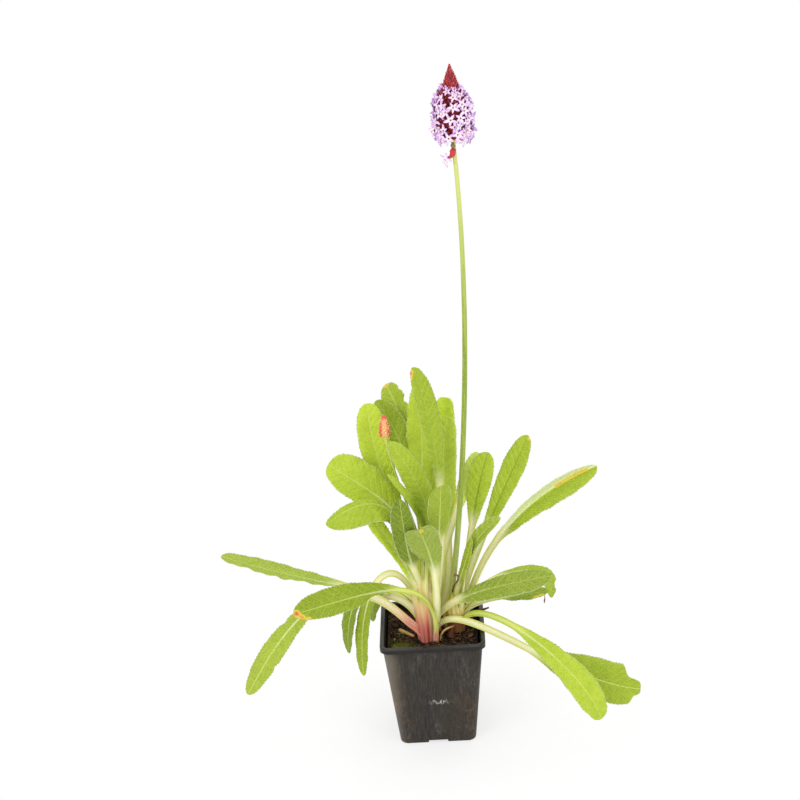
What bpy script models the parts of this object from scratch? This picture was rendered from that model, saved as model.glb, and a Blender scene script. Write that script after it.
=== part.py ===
"""Orchid primrose in a square nursery pot.

The origin is the middle of the pot's footprint on the ground, +Z is up and the pot's
sides run along X and Y.  The pot, its compost, the three shoots, every leaf, the flower
stems, the flower spikes and the litter on the compost are separate solids.
"""
import bpy
import bmesh
import numpy as np
from collections import namedtuple

MM = 0.001
GAP = 0.3                      # clearance between neighbouring solids

# ---- pot (mm) ----
RIM_HALF = 45.0                # half of the 90 mm square rim
POT_HEIGHT = 99.7
BASE_HALF = 33.0               # half of the square base
RIM_SKIRT = 5.0                # height of the band round the rim
RIM_STEP = 2.6                 # how far the band stands out from the wall
LIP_WIDTH = 3.8
RIM_ROUND = 0.8                # bevel on the rim's outer edge
LIP_ROUND = 0.5                # bevel on its inner edge
WALL = 1.3
FLOOR = 4.4
CORNER = 8.0                   # radius of the pot's corners
FOOT_HEIGHT = 3.0
CHANNEL_WIDTH = 17.5           # channel under the base, between the corner feet
DRAIN_RADIUS = 4.0
DRAIN_OFFSET = 17.0
CUT_REACH = 60.0               # half length of the channel cutters, past the walls

# ---- compost and shoots (mm) ----
SOIL_LEVEL = 92.5
SOIL_CORNER = 3.6
SOIL_PROFILE = ((FLOOR + GAP, 0.4), (SOIL_LEVEL - 2.0, 0.4), (SOIL_LEVEL - 0.5, 2.0),
                (SOIL_LEVEL, 4.5))      # height, and the inset from the pot's wall
CROWN_TOP = 93.0               # flat top of a shoot, where its leaf stalks stand
CROWN_RADIUS = 10.6
CROWN_DEPTH = 26.0
CROWN_PROFILE = ((0.0, -CROWN_DEPTH), (5.0, -CROWN_DEPTH), (CROWN_RADIUS - 1.5, -8.0),
                 (CROWN_RADIUS, -2.5), (CROWN_RADIUS - 0.4, 0.0), (0.0, 0.0))
WELL_TOP = 5.0                 # the well's cutter runs this far above the shoot
FRONT_SHOOT = (-3.0, -11.0)
RIGHT_SHOOT = (18.5, 3.0)
REAR_SHOOT = (-1.0, 13.0)
FOOT_RINGS = (2.4, 5.4, 8.6)   # inner, middle and outer ring of leaf stalks

# ---- leaves (mm, degrees) ----
STALK_HALF = 1.9               # half width of a leaf stalk
STALK_THICK = 1.8
BLADE_THICK = 0.9
EDGE_THICK = 0.6
STATIONS = (0, .07, .15, .24, .33, .42, .50, .58, .66, .74, .81, .87, .92, .96, .985)
BLADE_RISE = 1.3               # how slowly a blade widens from its stalk
BLADE_TIP = 0.6                # how bluntly it closes at its tip
CLOSE_FROM = 0.8               # share of the leaf's length where its stalk width runs out
THIN_FROM = 0.9                # share where the rib starts to thin towards the tip
THIN_RATE = 3.0

# ---- flower stem and spikes (mm) ----
STEM_FOOT = (13.1, 3.0, CROWN_TOP + GAP)
STEM_PULLS = ((38.0, 4.5, 232.0), (48.0, 5.0, 400.0))
STEM_TOP = (40.5, 5.0, 519.5)
STEM_RADII = (2.4, 1.75)       # at the foot and under the spike
SPIKE_BASE = STEM_TOP[2] + GAP
SPIKE_CORE = ((0.0, 0.0), (2.2, 0.0), (6.5, 2.5), (10.0, 7.0), (11.0, 16.0), (11.0, 26.0),
              (10.0, 36.0), (8.6, 43.0), (7.8, 48.0), (6.4, 53.0), (4.6, 58.0), (2.6, 62.5),
              (1.0, 64.6), (0.0, 65.0))
FLORET_ROWS = ((4.0, 13.5), (10.5, 16.4), (17.0, 17.4), (23.5, 17.4), (30.0, 16.8),
               (36.5, 15.0), (42.5, 12.4))
FLORETS_A_ROW = 7
FLORET_LOBES = 5
FLORET_RADIUS = 4.2
FLORET_NOTCH = 1.9             # radius of the gaps between the lobes
FLORET_THICK = 0.8
TUBE_RADIUS = 0.9
TUBE_LENGTH = 7.0
FLORET_TILTS = (-12, 4)        # degrees: tilt of the lowest row, and the step from row to row
LOW_FLORET = (33.2, 2.0, 508.5)
LOW_CALYX = ((0.0, 0.8), (1.0, 1.9))    # distance from its stem end, and radius
LOW_TUBE = ((-2.4, 1.5), (-1.4, TUBE_RADIUS))
YOUNG_FOOT = (-1.3, -12.7, CROWN_TOP + GAP)
YOUNG_PULLS = ((5.3, -12.6, 187.0), (-18.7, -12.9, 214.6))
YOUNG_TOP = (-29.0, -13.0, 280.0)
YOUNG_RADII = (1.1, 0.9)
YOUNG_CORE = ((0.0, 0.0), (1.5, 0.0), (4.2, 2.0), (4.9, 5.0), (4.6, 10.0), (3.6, 15.0),
              (2.2, 18.5), (0.9, 20.2), (0.0, 20.6))

# ---- litter (mm) ----
MOSS_PLACE = (-27.0, -25.5)
MOSS_SIZE = (8.5, 6.2)
MOSS_PROFILE = ((0.85, 0.0), (1.0, 0.5), (0.86, 1.3), (0.55, 2.0), (0.2, 2.3))
CHIP_CORNERS = ((-1, -0.6), (-0.5, -1), (0.7, -0.8), (1, 0.1), (0.4, 1), (-0.8, 0.7))
LEAF_STUB = ((-28.5, -1.0, 95.0), (-24.5, -4.5, 94.6), (-20.0, -8.5, 94.4), (-16.0, -12.5, 94.3))
ROOT_ARC = ((8.5, -17.0, 93.6), (9.3, -17.3, 95.4), (11.2, -17.8, 96.6), (13.2, -18.3, 95.6),
            (14.2, -18.6, 93.7))
DRIED_BASE = ((15.6, -13.6, 93.6), (16.0, -13.8, 95.8), (16.8, -14.2, 98.5), (17.8, -14.8, 100.5))
TWIG = ((31.0, 13.8, 94.0), (36.0, 14.6, 97.6), (41.0, 15.4, 101.2), (45.5, 16.0, 102.0),
        (50.0, 16.8, 103.2))
TENDRIL = ((18.5, 6.6, 124.0), (21.6, 8.4, 129.0), (23.4, 10.0, 133.5), (23.0, 12.0, 137.0),
           (21.2, 12.8, 138.2), (19.8, 12.2, 136.6))

Leaf = namedtuple("Leaf", "name shoot ring turn tip rise fall pull hold swerve width fold roll stalk")


# ---------------------------------------------------------------- helpers
def clear_scene():
    for obj in list(bpy.data.objects):
        bpy.data.objects.remove(obj, do_unlink=True)


def finish_material(name, colour, roughness, metallic=0.0):
    """One Principled material."""
    mat = bpy.data.materials.new(name)
    mat.use_nodes = True
    shader = mat.node_tree.nodes["Principled BSDF"]
    shader.inputs["Base Color"].default_value = (*colour, 1.0)
    shader.inputs["Roughness"].default_value = roughness
    shader.inputs["Metallic"].default_value = metallic
    return mat


def add_solid(name, verts, faces, material, smooth=True):
    """A closed mesh object from points in millimetres; its faces are turned outward."""
    mesh = bpy.data.meshes.new(name)
    mesh.from_pydata([tuple(float(c) * MM for c in v) for v in verts], [], faces)
    bm = bmesh.new()
    bm.from_mesh(mesh)
    bmesh.ops.recalc_face_normals(bm, faces=bm.faces)
    bm.to_mesh(mesh)
    bm.free()
    if smooth:
        mesh.shade_smooth()
        mesh.set_sharp_from_angle(angle=np.radians(40))
    obj = bpy.data.objects.new(name, mesh)
    bpy.context.scene.collection.objects.link(obj)
    obj.data.materials.append(material)
    return obj


def loft(rings, close_start=True, close_end=True):
    """Points and faces of a skin over rings that all have the same number of points."""
    rings = np.asarray(rings, float)
    count, around = rings.shape[:2]
    faces = []
    for i in range(count - 1):
        for j in range(around):
            k = (j + 1) % around
            faces.append((i * around + j, i * around + k, (i + 1) * around + k, (i + 1) * around + j))
    if close_start:
        faces.append(tuple(range(around - 1, -1, -1)))
    if close_end:
        faces.append(tuple(range((count - 1) * around, count * around)))
    return rings.reshape(-1, 3), faces


def turned(profile, centre=(0.0, 0.0, 0.0), sides=16):
    """A profile of (radius, height) turned about the vertical; its ends lie on the axis."""
    angles = np.linspace(0, 2 * np.pi, sides, endpoint=False)
    rings = [[(r * np.cos(a), r * np.sin(a), z) for a in angles] for r, z in profile[1:-1]]
    verts, faces = loft(rings, False, False)
    first, last = len(verts), len(verts) + 1
    verts = np.vstack([verts, (0, 0, profile[0][1]), (0, 0, profile[-1][1])])
    top = (len(rings) - 1) * sides
    for j in range(sides):
        k = (j + 1) % sides
        faces.append((first, k, j))
        faces.append((last, top + j, top + k))
    return verts + np.asarray(centre, float), faces


def square_ring(half, radius, height, steps=4):
    """A square with round corners, anticlockwise seen from above."""
    points = []
    for corner in range(4):
        middle = np.radians(45 + 90 * corner)
        cx = np.sign(np.cos(middle)) * (half - radius)
        cy = np.sign(np.sin(middle)) * (half - radius)
        for step in range(steps + 1):
            a = np.radians(90 * corner + 90 * step / steps)
            points.append((cx + radius * np.cos(a), cy + radius * np.sin(a), height))
    return points


def bezier(points, s):
    """Place and direction along a cubic Bezier curve at the shares s of its length."""
    a, b, c, d = (np.asarray(p, float) for p in points)
    s = np.asarray(s, float)[:, None]
    place = (1 - s) ** 3 * a + 3 * (1 - s) ** 2 * s * b + 3 * (1 - s) * s ** 2 * c + s ** 3 * d
    along = (1 - s) ** 2 * (b - a) + 2 * (1 - s) * s * (c - b) + s ** 2 * (d - c)
    return place, along / np.linalg.norm(along, axis=1)[:, None]


def heading(turn, rise):
    """Unit vector from a compass turn and a rise above the horizontal, in degrees."""
    a, e = np.radians(turn), np.radians(rise)
    return np.array([np.cos(e) * np.cos(a), np.cos(e) * np.sin(a), np.sin(e)])


def tube(points, radii, sides=8):
    """Rings of round cross-section along a row of points."""
    points = np.asarray(points, float)
    along = np.gradient(points, axis=0)
    along /= np.linalg.norm(along, axis=1)[:, None]
    side = np.cross(along, (0.0, 1.0, 0.0))
    side /= np.linalg.norm(side, axis=1)[:, None]
    up = np.cross(side, along)
    radii = np.broadcast_to(np.asarray(radii, float), len(points))[:, None]
    angles = np.linspace(0, 2 * np.pi, sides, endpoint=False)
    return np.stack([points + radii * (side * np.cos(a) + up * np.sin(a)) for a in angles], axis=1)


def cut(obj, tool):
    """Boolean difference; the tool stays as a hidden guide."""
    tool.hide_render = True
    tool.display_type = "WIRE"
    step = obj.modifiers.new("cut_" + tool.name, "BOOLEAN")
    step.operation = "DIFFERENCE"
    step.object = tool


# ---------------------------------------------------------------- pot and compost
def wall_inside(height):
    """Half width of the pot's inside at a height."""
    share = (height - FLOOR) / (POT_HEIGHT - RIM_SKIRT - FLOOR)
    low = BASE_HALF - WALL
    high = RIM_HALF - LIP_WIDTH - 0.1
    return low + (high - low) * min(share, 1.0)


def build_pot(material):
    """Tapered square shell with a rim band, corner feet and drain holes."""
    skirt = POT_HEIGHT - RIM_SKIRT
    body = RIM_HALF - RIM_STEP
    lip = RIM_HALF - LIP_WIDTH
    rings = [
        square_ring(BASE_HALF, CORNER - 1, 0.0),
        square_ring(body, CORNER - 1, skirt),
        square_ring(RIM_HALF, CORNER, skirt + 0.2),
        square_ring(RIM_HALF, CORNER, POT_HEIGHT - RIM_ROUND),
        square_ring(RIM_HALF - RIM_ROUND, CORNER - RIM_ROUND, POT_HEIGHT),
        square_ring(lip + LIP_ROUND, CORNER - LIP_WIDTH + LIP_ROUND, POT_HEIGHT),
        square_ring(lip, CORNER - LIP_WIDTH, POT_HEIGHT - LIP_ROUND),
        square_ring(wall_inside(skirt), CORNER - LIP_WIDTH - 0.1, skirt),
        square_ring(wall_inside(FLOOR), CORNER - LIP_WIDTH - 0.1, FLOOR),
    ]
    verts, faces = loft(rings)
    pot = add_solid("pot", verts, faces, material)
    for name, half_x, half_y in (("channel_x", CUT_REACH, CHANNEL_WIDTH / 2),
                                 ("channel_y", CHANNEL_WIDTH / 2, CUT_REACH)):
        corners = ((-half_x, -half_y), (half_x, -half_y), (half_x, half_y), (-half_x, half_y))
        verts, faces = loft([[(x, y, z) for x, y in corners] for z in (-FOOT_HEIGHT, FOOT_HEIGHT)])
        cut(pot, add_solid(name, verts, faces, material, smooth=False))
    for index in range(4):
        a = np.radians(90 * index)
        place = (DRAIN_OFFSET * np.cos(a), DRAIN_OFFSET * np.sin(a), 0.0)
        profile = ((0, -FLOOR), (DRAIN_RADIUS, -FLOOR), (DRAIN_RADIUS, 2 * FLOOR), (0, 2 * FLOOR))
        verts, faces = turned(profile, place, 12)
        cut(pot, add_solid("drain_%d" % index, verts, faces, material, smooth=False))
    return pot


def build_crown(name, shoot, material, swell=0.0):
    """Short thick shoot base, sunk in the compost, with a flat top for the stalks.

    With a swell it is the larger cutter that makes the shoot's well in the compost.
    """
    profile = [(r + swell if r else 0.0, z + (-swell if i < 2 else 0.0))
               for i, (r, z) in enumerate(CROWN_PROFILE)]
    if swell:
        profile[-2] = (profile[-2][0], WELL_TOP)
        profile[-1] = (0.0, WELL_TOP)
    verts, faces = turned(profile, (*shoot, CROWN_TOP), 16)
    return add_solid(name, verts, faces, material)


def build_soil(material):
    """Compost that fills the pot to just under the rim, with wells for the shoots."""
    rings = [square_ring(wall_inside(height) - inset, SOIL_CORNER, height)
             for height, inset in SOIL_PROFILE]
    verts, faces = loft(rings)
    soil = add_solid("compost", verts, faces, material, smooth=False)
    for name, shoot in (("well_front", FRONT_SHOOT), ("well_right", RIGHT_SHOOT),
                        ("well_rear", REAR_SHOOT)):
        cut(soil, build_crown(name, shoot, material, swell=GAP))
    return soil


# ---------------------------------------------------------------- leaves
def leaf_midrib(leaf):
    """Four Bezier points from the stalk's foot on the shoot to the leaf's tip.

    The stalk leaves its foot at the angle rise, in the vertical plane of the tip, and the
    tip arrives at the angle fall.  pull and hold are the two handles' lengths as shares
    of the straight distance, and swerve turns the tip sideways.
    """
    a = np.radians(leaf.turn)
    ring = FOOT_RINGS[leaf.ring]
    foot = np.array([leaf.shoot[0] + ring * np.cos(a), leaf.shoot[1] + ring * np.sin(a), CROWN_TOP])
    tip = np.array(leaf.tip, float)
    span = tip - foot
    reach = np.linalg.norm(span)
    turn = np.degrees(np.arctan2(span[1], span[0]))
    return (foot, foot + leaf.pull * reach * heading(turn, leaf.rise),
            tip - leaf.hold * reach * heading(turn + leaf.swerve, leaf.fall), tip)


def ease(x):
    x = np.clip(x, 0.0, 1.0)
    return x * x * (3 - 2 * x)


def leaf_half_width(s, leaf):
    """A narrow stalk, then a blade that widens slowly and closes bluntly."""
    t = np.clip((s - leaf.stalk) / (1 - leaf.stalk), 0, 1)
    widest = BLADE_RISE / (BLADE_RISE + BLADE_TIP)
    blade = (t / widest) ** BLADE_RISE * ((1 - t) / (1 - widest)) ** BLADE_TIP
    closing = np.sqrt(1 - np.clip((s - CLOSE_FROM) / (1 - CLOSE_FROM), 0, 1) ** 2)
    return STALK_HALF * closing + (leaf.width / 2 - STALK_HALF) * blade


def build_leaf(leaf, material):
    """Six-sided section carried along the midrib: two raised halves and a thicker rib."""
    s = np.array(STATIONS, float)
    points = leaf_midrib(leaf)
    place, along = bezier(points, s)
    span = points[3] - points[0]
    side = np.array([-span[1], span[0], 0.0]) / np.hypot(span[0], span[1])
    side = side - (along @ side)[:, None] * along
    side /= np.linalg.norm(side, axis=1)[:, None]
    face = np.cross(along, side)
    grown = ease(s / leaf.stalk)
    roll = np.radians(leaf.roll) * grown
    cos, sin = np.cos(roll)[:, None], np.sin(roll)[:, None]
    side, face = side * cos + face * sin, face * cos - side * sin
    half = leaf_half_width(s, leaf)
    rib = (STALK_THICK + (BLADE_THICK - STALK_THICK) * grown) / 2
    rib = rib * (1 - THIN_RATE * np.maximum(s - THIN_FROM, 0))
    edge = (STALK_THICK / 2 + (EDGE_THICK - STALK_THICK / 2) * grown) / 2
    out = half * np.cos(np.radians(leaf.fold))
    up = half * np.sin(np.radians(leaf.fold))
    section = ((-out, up + edge), (0 * out, rib), (out, up + edge),
               (out, up - edge), (0 * out, -rib), (-out, up - edge))
    rings = np.stack([place + side * x[:, None] + face * z[:, None] for x, z in section], axis=1)
    foot = CROWN_TOP + GAP
    rings[0] += ((foot - rings[0][:, 2]) / along[0][2])[:, None] * along[0]
    verts, faces = loft(rings)
    return add_solid(leaf.name, verts, faces, material)


# In the table F, R and B are the front, right and back shoots.
F, R, B = FRONT_SHOOT, RIGHT_SHOOT, REAR_SHOOT
# Each leaf: name, shoot, ring and turn of its foot, tip in mm, rise and fall in degrees,
# pull and hold as shares of the span, swerve, width in mm, fold and roll in degrees, and
# the share of its length that is stalk.
LEAVES = (
    Leaf("leaf_tallest", F, 2, 73, (-3, -3, 337), 104, 73, 0.34, 0.3, 1, 22, 14, -65, 0.45),
    Leaf("leaf_behind_tallest", B, 1, -90, (3, 14, 319), 94, 86, 0.5, 0.45, 1, 24, 10, 0, 0.45),
    Leaf("leaf_torn_edge", B, 0, 50, (-29, 63, 298.5), 94, 1, 0.4, 0.3, -14, 20.5, 10, -35, 0.5),
    Leaf("leaf_upper_left_back", B, 1, -148, (-36.5, 31, 296.5), 94, 43, 0.35, 0.3, -3, 22, 10, -45, 0.5),
    Leaf("leaf_upper_left", F, 2, 92, (-43, 9, 303), 94, 89, 0.4, 0.4, 0, 25, 10, -55, 0.5),
    Leaf("leaf_left_broad", F, 2, 107, (-77.5, -18, 261), 83, 40, 0.7, 0.45, -4, 29, 10, -70, 0.5),
    Leaf("leaf_left_nodding", F, 2, 179, (-80, -63, 227), 94, -19, 0.4, 0.5, -7, 24, 12, -70, 0.45),
    Leaf("leaf_left_toothed", F, 1, -148, (-57, -36, 236), 94, 56, 0.3, 0.45, -8, 18, 15, -65, 0.4),
    Leaf("leaf_front_dark", F, 1, 136, (-19, -54, 242), 94, 83, 0.5, 0.65, -8, 19, 10, 5, 0.5),
    Leaf("leaf_front_rolled", F, 2, -113, (-28, -41, 259), 94, 55, 0.55, 0.5, -12, 12, 30, -80, 0.45),
    Leaf("leaf_front_left", F, 0, 174, (-25, -28, 282), 94, 57, 0.35, 0.55, -11, 22, 10, -90, 0.45),
    Leaf("leaf_front_centre", F, 1, 12, (15, -38, 245), 80, 80, 0.4, 0.4, 3, 25, 12, 10, 0.62),
    Leaf("leaf_front_low", F, 1, -61, (-5, -57, 216), 68, 62, 0.25, 0.6, -29, 28, 12, 12, 0.5),
    Leaf("leaf_left_level", F, 2, -37, (-112, -75, 153), 94, -4, 0.5, 0.45, -8, 25, 12, -50, 0.45),
    Leaf("leaf_far_left", B, 2, 123, (-181, 31, 159), 94, 18, 0.2, 0.7, -2, 22, 12, -6, 0.5),
    Leaf("leaf_left_hanging", F, 2, -131, (-159, -51, 67), 60, -58, 0.7, 0.6, 6, 21, 15, -60, 0.55),
    Leaf("leaf_arched_outer", B, 0, 137, (-75, 12, 68), 67, -91, 0.75, 1.05, -3, 16, 15, -30, 0.55),
    Leaf("leaf_arched_middle", B, 2, -145, (-63, 4, 49), 81, -92, 1.4, 1.3, 7, 14, 15, -50, 0.55),
    Leaf("leaf_arched_inner", F, 2, 135, (-53, 33, 87), 94, -100, 0.65, 0.7, -9, 15, 15, -80, 0.55),
    Leaf("leaf_square_tip", B, 2, 16, (22.5, 47, 290), 68, 78, 0.35, 0.4, 1, 18, 10, -5, 0.5),
    Leaf("leaf_centre_back", B, 1, -9, (23.5, 27, 280), 59, 78, 0.35, 0.5, 2, 21, 12, 30, 0.45),
    Leaf("leaf_right_back", B, 2, -50, (47, 41, 240.5), 90, 45, 0.43, 0.32, 22, 15, 12, 50, 0.62),
    Leaf("leaf_right_upright", R, 1, 60, (56, 22, 247.5), 74, 67, 0.4, 0.3, 0, 23, 14, 50, 0.5),
    Leaf("leaf_right_tall", R, 1, 0, (90, 10, 266), 84, 65, 0.3, 0.35, 0, 22, 12, 50, 0.5),
    Leaf("leaf_right_folded", R, 2, 16, (147, 12, 234), 76, 25, 0.4, 0.35, 3, 26, 18, 35, 0.45),
    Leaf("leaf_right_short", R, 2, -38, (63, -21, 206), 87, 40, 0.45, 0.4, 4, 13, 15, 60, 0.4),
    Leaf("leaf_right_small", R, 1, -60, (38, -14, 186), 94, 77, 0.45, 0.4, 0, 8, 15, 75, 0.4),
    Leaf("leaf_right_level", F, 2, 41, (104, -32, 155), 94, 11, 0.25, 0.55, 8, 22, 12, 40, 0.42),
    Leaf("leaf_right_level_back", R, 2, 44, (105, 16, 110), 93, -96, 0.48, 0.66, 1, 20, 12, 10, 0.42),
    Leaf("leaf_right_yellowed", R, 2, -11, (101, -10, 130), 94, 10, 0.36, 0.5, 6, 18, 12, 5, 0.6),
    Leaf("leaf_right_hanging", R, 2, -66, (138, -78, 42), 76, -76, 0.4, 0.3, 0, 27, 14, 20, 0.42),
    Leaf("leaf_right_torn", F, 2, 5, (175, -43, 49), 84, 0, 0.29, 0.38, -1, 33, 12, 50, 0.6),
    Leaf("leaf_rear_upright", B, 1, 62, (6, 71, 227), 84, 42, 0.4, 0.35, -1, 22, 10, -20, 0.45),
    Leaf("leaf_rear_leaning", R, 2, 134, (8, 85, 163), 94, 63, 0.3, 0.85, 11, 21, 10, -45, 0.45),
    Leaf("leaf_rear_drooping", B, 2, 37, (-10, 86, 26), 52, -73, 0.6, 0.45, 7, 22, 12, -20, 0.45),
    Leaf("leaf_rear_right_drooping", R, 2, 98, (27, 88, 14), 42, -51, 0.6, 0.6, 38, 22, 12, 45, 0.45),
    Leaf("leaf_rear_left_drooping", B, 2, 95, (-31, 77, 28), 48, -100, 0.55, 0.45, 2, 20, 12, -10, 0.45),
)


# ---------------------------------------------------------------- flower stem and spikes
def build_stem(material):
    """Tall bare stem that bows to +X and carries the spike; both ends are level."""
    s = np.linspace(0, 1, 17)
    place, _ = bezier((STEM_FOOT, *STEM_PULLS, STEM_TOP), s)
    radii = STEM_RADII[0] + (STEM_RADII[1] - STEM_RADII[0]) * s
    rings = tube(place, radii)
    rings[0][:, 2] = STEM_FOOT[2]
    rings[-1][:, 2] = STEM_TOP[2]
    verts, faces = loft(rings)
    return add_solid("flower_stem", verts, faces, material)


def floret(place, outward, spin):
    """Star with notched lobes on a short tube; the tube's far end is inside the spike."""
    outward = np.asarray(outward, float)
    across = np.cross((0, 0, 1.0), outward)
    across /= np.linalg.norm(across)
    up = np.cross(outward, across)

    def ring(depth, radii, count):
        angles = spin + 2 * np.pi * np.arange(count) / count
        return [place + outward * depth + r * (across * np.cos(a) + up * np.sin(a))
                for a, r in zip(angles, np.resize(radii, count))]

    star = (FLORET_RADIUS, FLORET_NOTCH)
    narrow = (TUBE_RADIUS, TUBE_RADIUS)
    count = 2 * FLORET_LOBES
    return loft([ring(-TUBE_LENGTH, narrow, count), ring(0.0, star, count),
                 ring(FLORET_THICK, star, count)])


def build_spike(material):
    """Core of dark calyces, joined with rows of open florets."""
    verts, faces = turned(SPIKE_CORE, (STEM_TOP[0], STEM_TOP[1], SPIKE_BASE), 16)
    spike = add_solid("flower_spike", verts, faces, material)
    all_verts, all_faces = [], []
    for row, (height, radius) in enumerate(FLORET_ROWS):
        for index in range(FLORETS_A_ROW):
            a = 2 * np.pi * (index + 0.5 * (row % 2)) / FLORETS_A_ROW
            tilt = np.radians(FLORET_TILTS[0] + FLORET_TILTS[1] * row)
            outward = np.array([np.cos(a) * np.cos(tilt), np.sin(a) * np.cos(tilt), np.sin(tilt)])
            place = np.array([STEM_TOP[0] + radius * np.cos(a), STEM_TOP[1] + radius * np.sin(a),
                              SPIKE_BASE + height])
            verts, faces = floret(place, outward, 0.7 * index + row)
            shift = len(all_verts)
            all_verts.extend(verts)
            all_faces.extend(tuple(shift + i for i in face) for face in faces)
    stars = add_solid("florets", all_verts, all_faces, material)
    stars.hide_render = True
    stars.display_type = "WIRE"
    union = spike.modifiers.new("florets", "BOOLEAN")
    union.operation = "UNION"
    union.object = stars
    return spike


def build_low_floret(material):
    """One open floret below the spike, held in its own small calyx beside the stem."""
    place = np.array(LOW_FLORET)
    stem_side = np.array([STEM_TOP[0] - STEM_RADII[1], STEM_TOP[1] - 1.0, LOW_FLORET[2] + 4.5])
    inward = stem_side - place
    length = np.linalg.norm(inward)
    outward = -inward / length
    across = np.cross((0, 0, 1.0), outward)
    across /= np.linalg.norm(across)
    up = np.cross(outward, across)
    steps = [(depth - length, (r, r)) for depth, r in LOW_CALYX]
    steps += [(depth, (r, r)) for depth, r in LOW_TUBE]
    steps += [(depth, (FLORET_RADIUS, FLORET_NOTCH)) for depth in (0.0, FLORET_THICK)]
    angles = np.pi * np.arange(2 * FLORET_LOBES) / FLORET_LOBES
    rings = [[place + outward * depth + r * (across * np.cos(a) + up * np.sin(a))
              for a, r in zip(angles, np.resize(radii, 2 * FLORET_LOBES))]
             for depth, radii in steps]
    verts, faces = loft(rings)
    return add_solid("low_floret", verts, faces, material)


def build_young_spike(stem_material, bud_material):
    """Thin second flower stem with a closed bud that hasn't opened yet."""
    s = np.linspace(0, 1, 13)
    place, _ = bezier((YOUNG_FOOT, *YOUNG_PULLS, YOUNG_TOP), s)
    rings = tube(place, YOUNG_RADII[0] + (YOUNG_RADII[1] - YOUNG_RADII[0]) * s)
    rings[0][:, 2] = YOUNG_FOOT[2]
    rings[-1][:, 2] = YOUNG_TOP[2]
    verts, faces = loft(rings)
    add_solid("young_stem", verts, faces, stem_material)
    verts, faces = turned(YOUNG_CORE, (YOUNG_TOP[0], YOUNG_TOP[1], YOUNG_TOP[2] + GAP), 12)
    return add_solid("young_spike", verts, faces, bud_material)


# ---------------------------------------------------------------- litter on the compost
def build_cord_piece(name, points, radii, material, sides=6):
    """A thin stalk, root or twig through a few points."""
    verts, faces = loft(tube(points, radii, sides))
    return add_solid(name, verts, faces, material)


def build_moss(material):
    """Low uneven cushion of moss at the front left corner."""
    rings = []
    angles = np.linspace(0, 2 * np.pi, 18, endpoint=False)
    wobble = 1 + 0.10 * np.sin(3 * angles + 0.5) + 0.06 * np.sin(7 * angles)
    for share, height in MOSS_PROFILE:
        x = MOSS_PLACE[0] + MOSS_SIZE[0] * share * wobble * np.cos(angles)
        y = MOSS_PLACE[1] + MOSS_SIZE[1] * share * wobble * np.sin(angles)
        z = np.full_like(x, SOIL_LEVEL + GAP + height)
        rings.append(np.stack([x, y, z], axis=1))
    verts, faces = loft(rings)
    return add_solid("moss", verts, faces, material)


def build_chip(name, place, turn, size, material):
    """Flat splinter of bark with worn corners."""
    a = np.radians(turn)
    rings = []
    for share, height in ((0.85, 0.0), (1.0, 0.5 * size[2]), (0.75, size[2])):
        ring = []
        for u, v in CHIP_CORNERS:
            x, y = u * share * size[0] / 2, v * share * size[1] / 2
            ring.append((place[0] + x * np.cos(a) - y * np.sin(a),
                         place[1] + x * np.sin(a) + y * np.cos(a), SOIL_LEVEL + GAP + height))
        rings.append(ring)
    verts, faces = loft(rings)
    return add_solid(name, verts, faces, material)


def build_litter(materials):
    """Old stalks, a root, a twig, moss and bark that lie on the compost."""
    build_cord_piece("leaf_stub", LEAF_STUB, (1.4, 1.4, 1.4, 1.2), materials["yellowed"])
    build_cord_piece("root_arc", ROOT_ARC, 0.6, materials["yellowed"])
    build_cord_piece("dried_base", DRIED_BASE, (3.0, 2.9, 2.1, 1.0), materials["dry"], sides=10)
    build_cord_piece("twig", TWIG, 0.9, materials["bark"])
    build_cord_piece("curled_tendril", TENDRIL, 0.7, materials["dry"])
    build_moss(materials["moss"])
    build_chip("bark_chip_front", (24.0, -30.0), 20, (9.0, 5.0, 2.2), materials["bark"])
    build_chip("bark_chip_left", (-32.0, 10.0), -50, (8.0, 4.5, 2.0), materials["bark"])
    build_chip("bark_chip_right", (33.0, -14.0), 70, (7.0, 4.0, 1.8), materials["bark"])


def main():
    clear_scene()
    materials = {
        "pot": finish_material("pot_plastic", (0.045, 0.042, 0.038), 0.45),
        "soil": finish_material("compost", (0.035, 0.022, 0.014), 0.95),
        "shoot": finish_material("shoot_pink", (0.45, 0.12, 0.09), 0.6),
        "leaf": finish_material("leaf_green", (0.36, 0.52, 0.06), 0.55),
        "stem": finish_material("stem_green", (0.25, 0.36, 0.10), 0.6),
        "spike": finish_material("spike_lilac_red", (0.55, 0.16, 0.35), 0.6),
        "bud": finish_material("bud_coral", (0.75, 0.16, 0.12), 0.6),
        "yellowed": finish_material("yellowed_stalk", (0.65, 0.45, 0.12), 0.7),
        "dry": finish_material("dry_brown", (0.14, 0.05, 0.025), 0.8),
        "moss": finish_material("moss_green", (0.08, 0.11, 0.02), 0.95),
        "bark": finish_material("bark_brown", (0.12, 0.07, 0.04), 0.9),
    }
    build_pot(materials["pot"])
    build_soil(materials["soil"])
    build_crown("shoot_front", FRONT_SHOOT, materials["shoot"])
    build_crown("shoot_right", RIGHT_SHOOT, materials["shoot"])
    build_crown("shoot_rear", REAR_SHOOT, materials["shoot"])
    for leaf in LEAVES:
        build_leaf(leaf, materials["leaf"])
    build_stem(materials["stem"])
    build_spike(materials["spike"])
    build_low_floret(materials["spike"])
    build_young_spike(materials["stem"], materials["bud"])
    build_litter(materials)


main()
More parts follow.
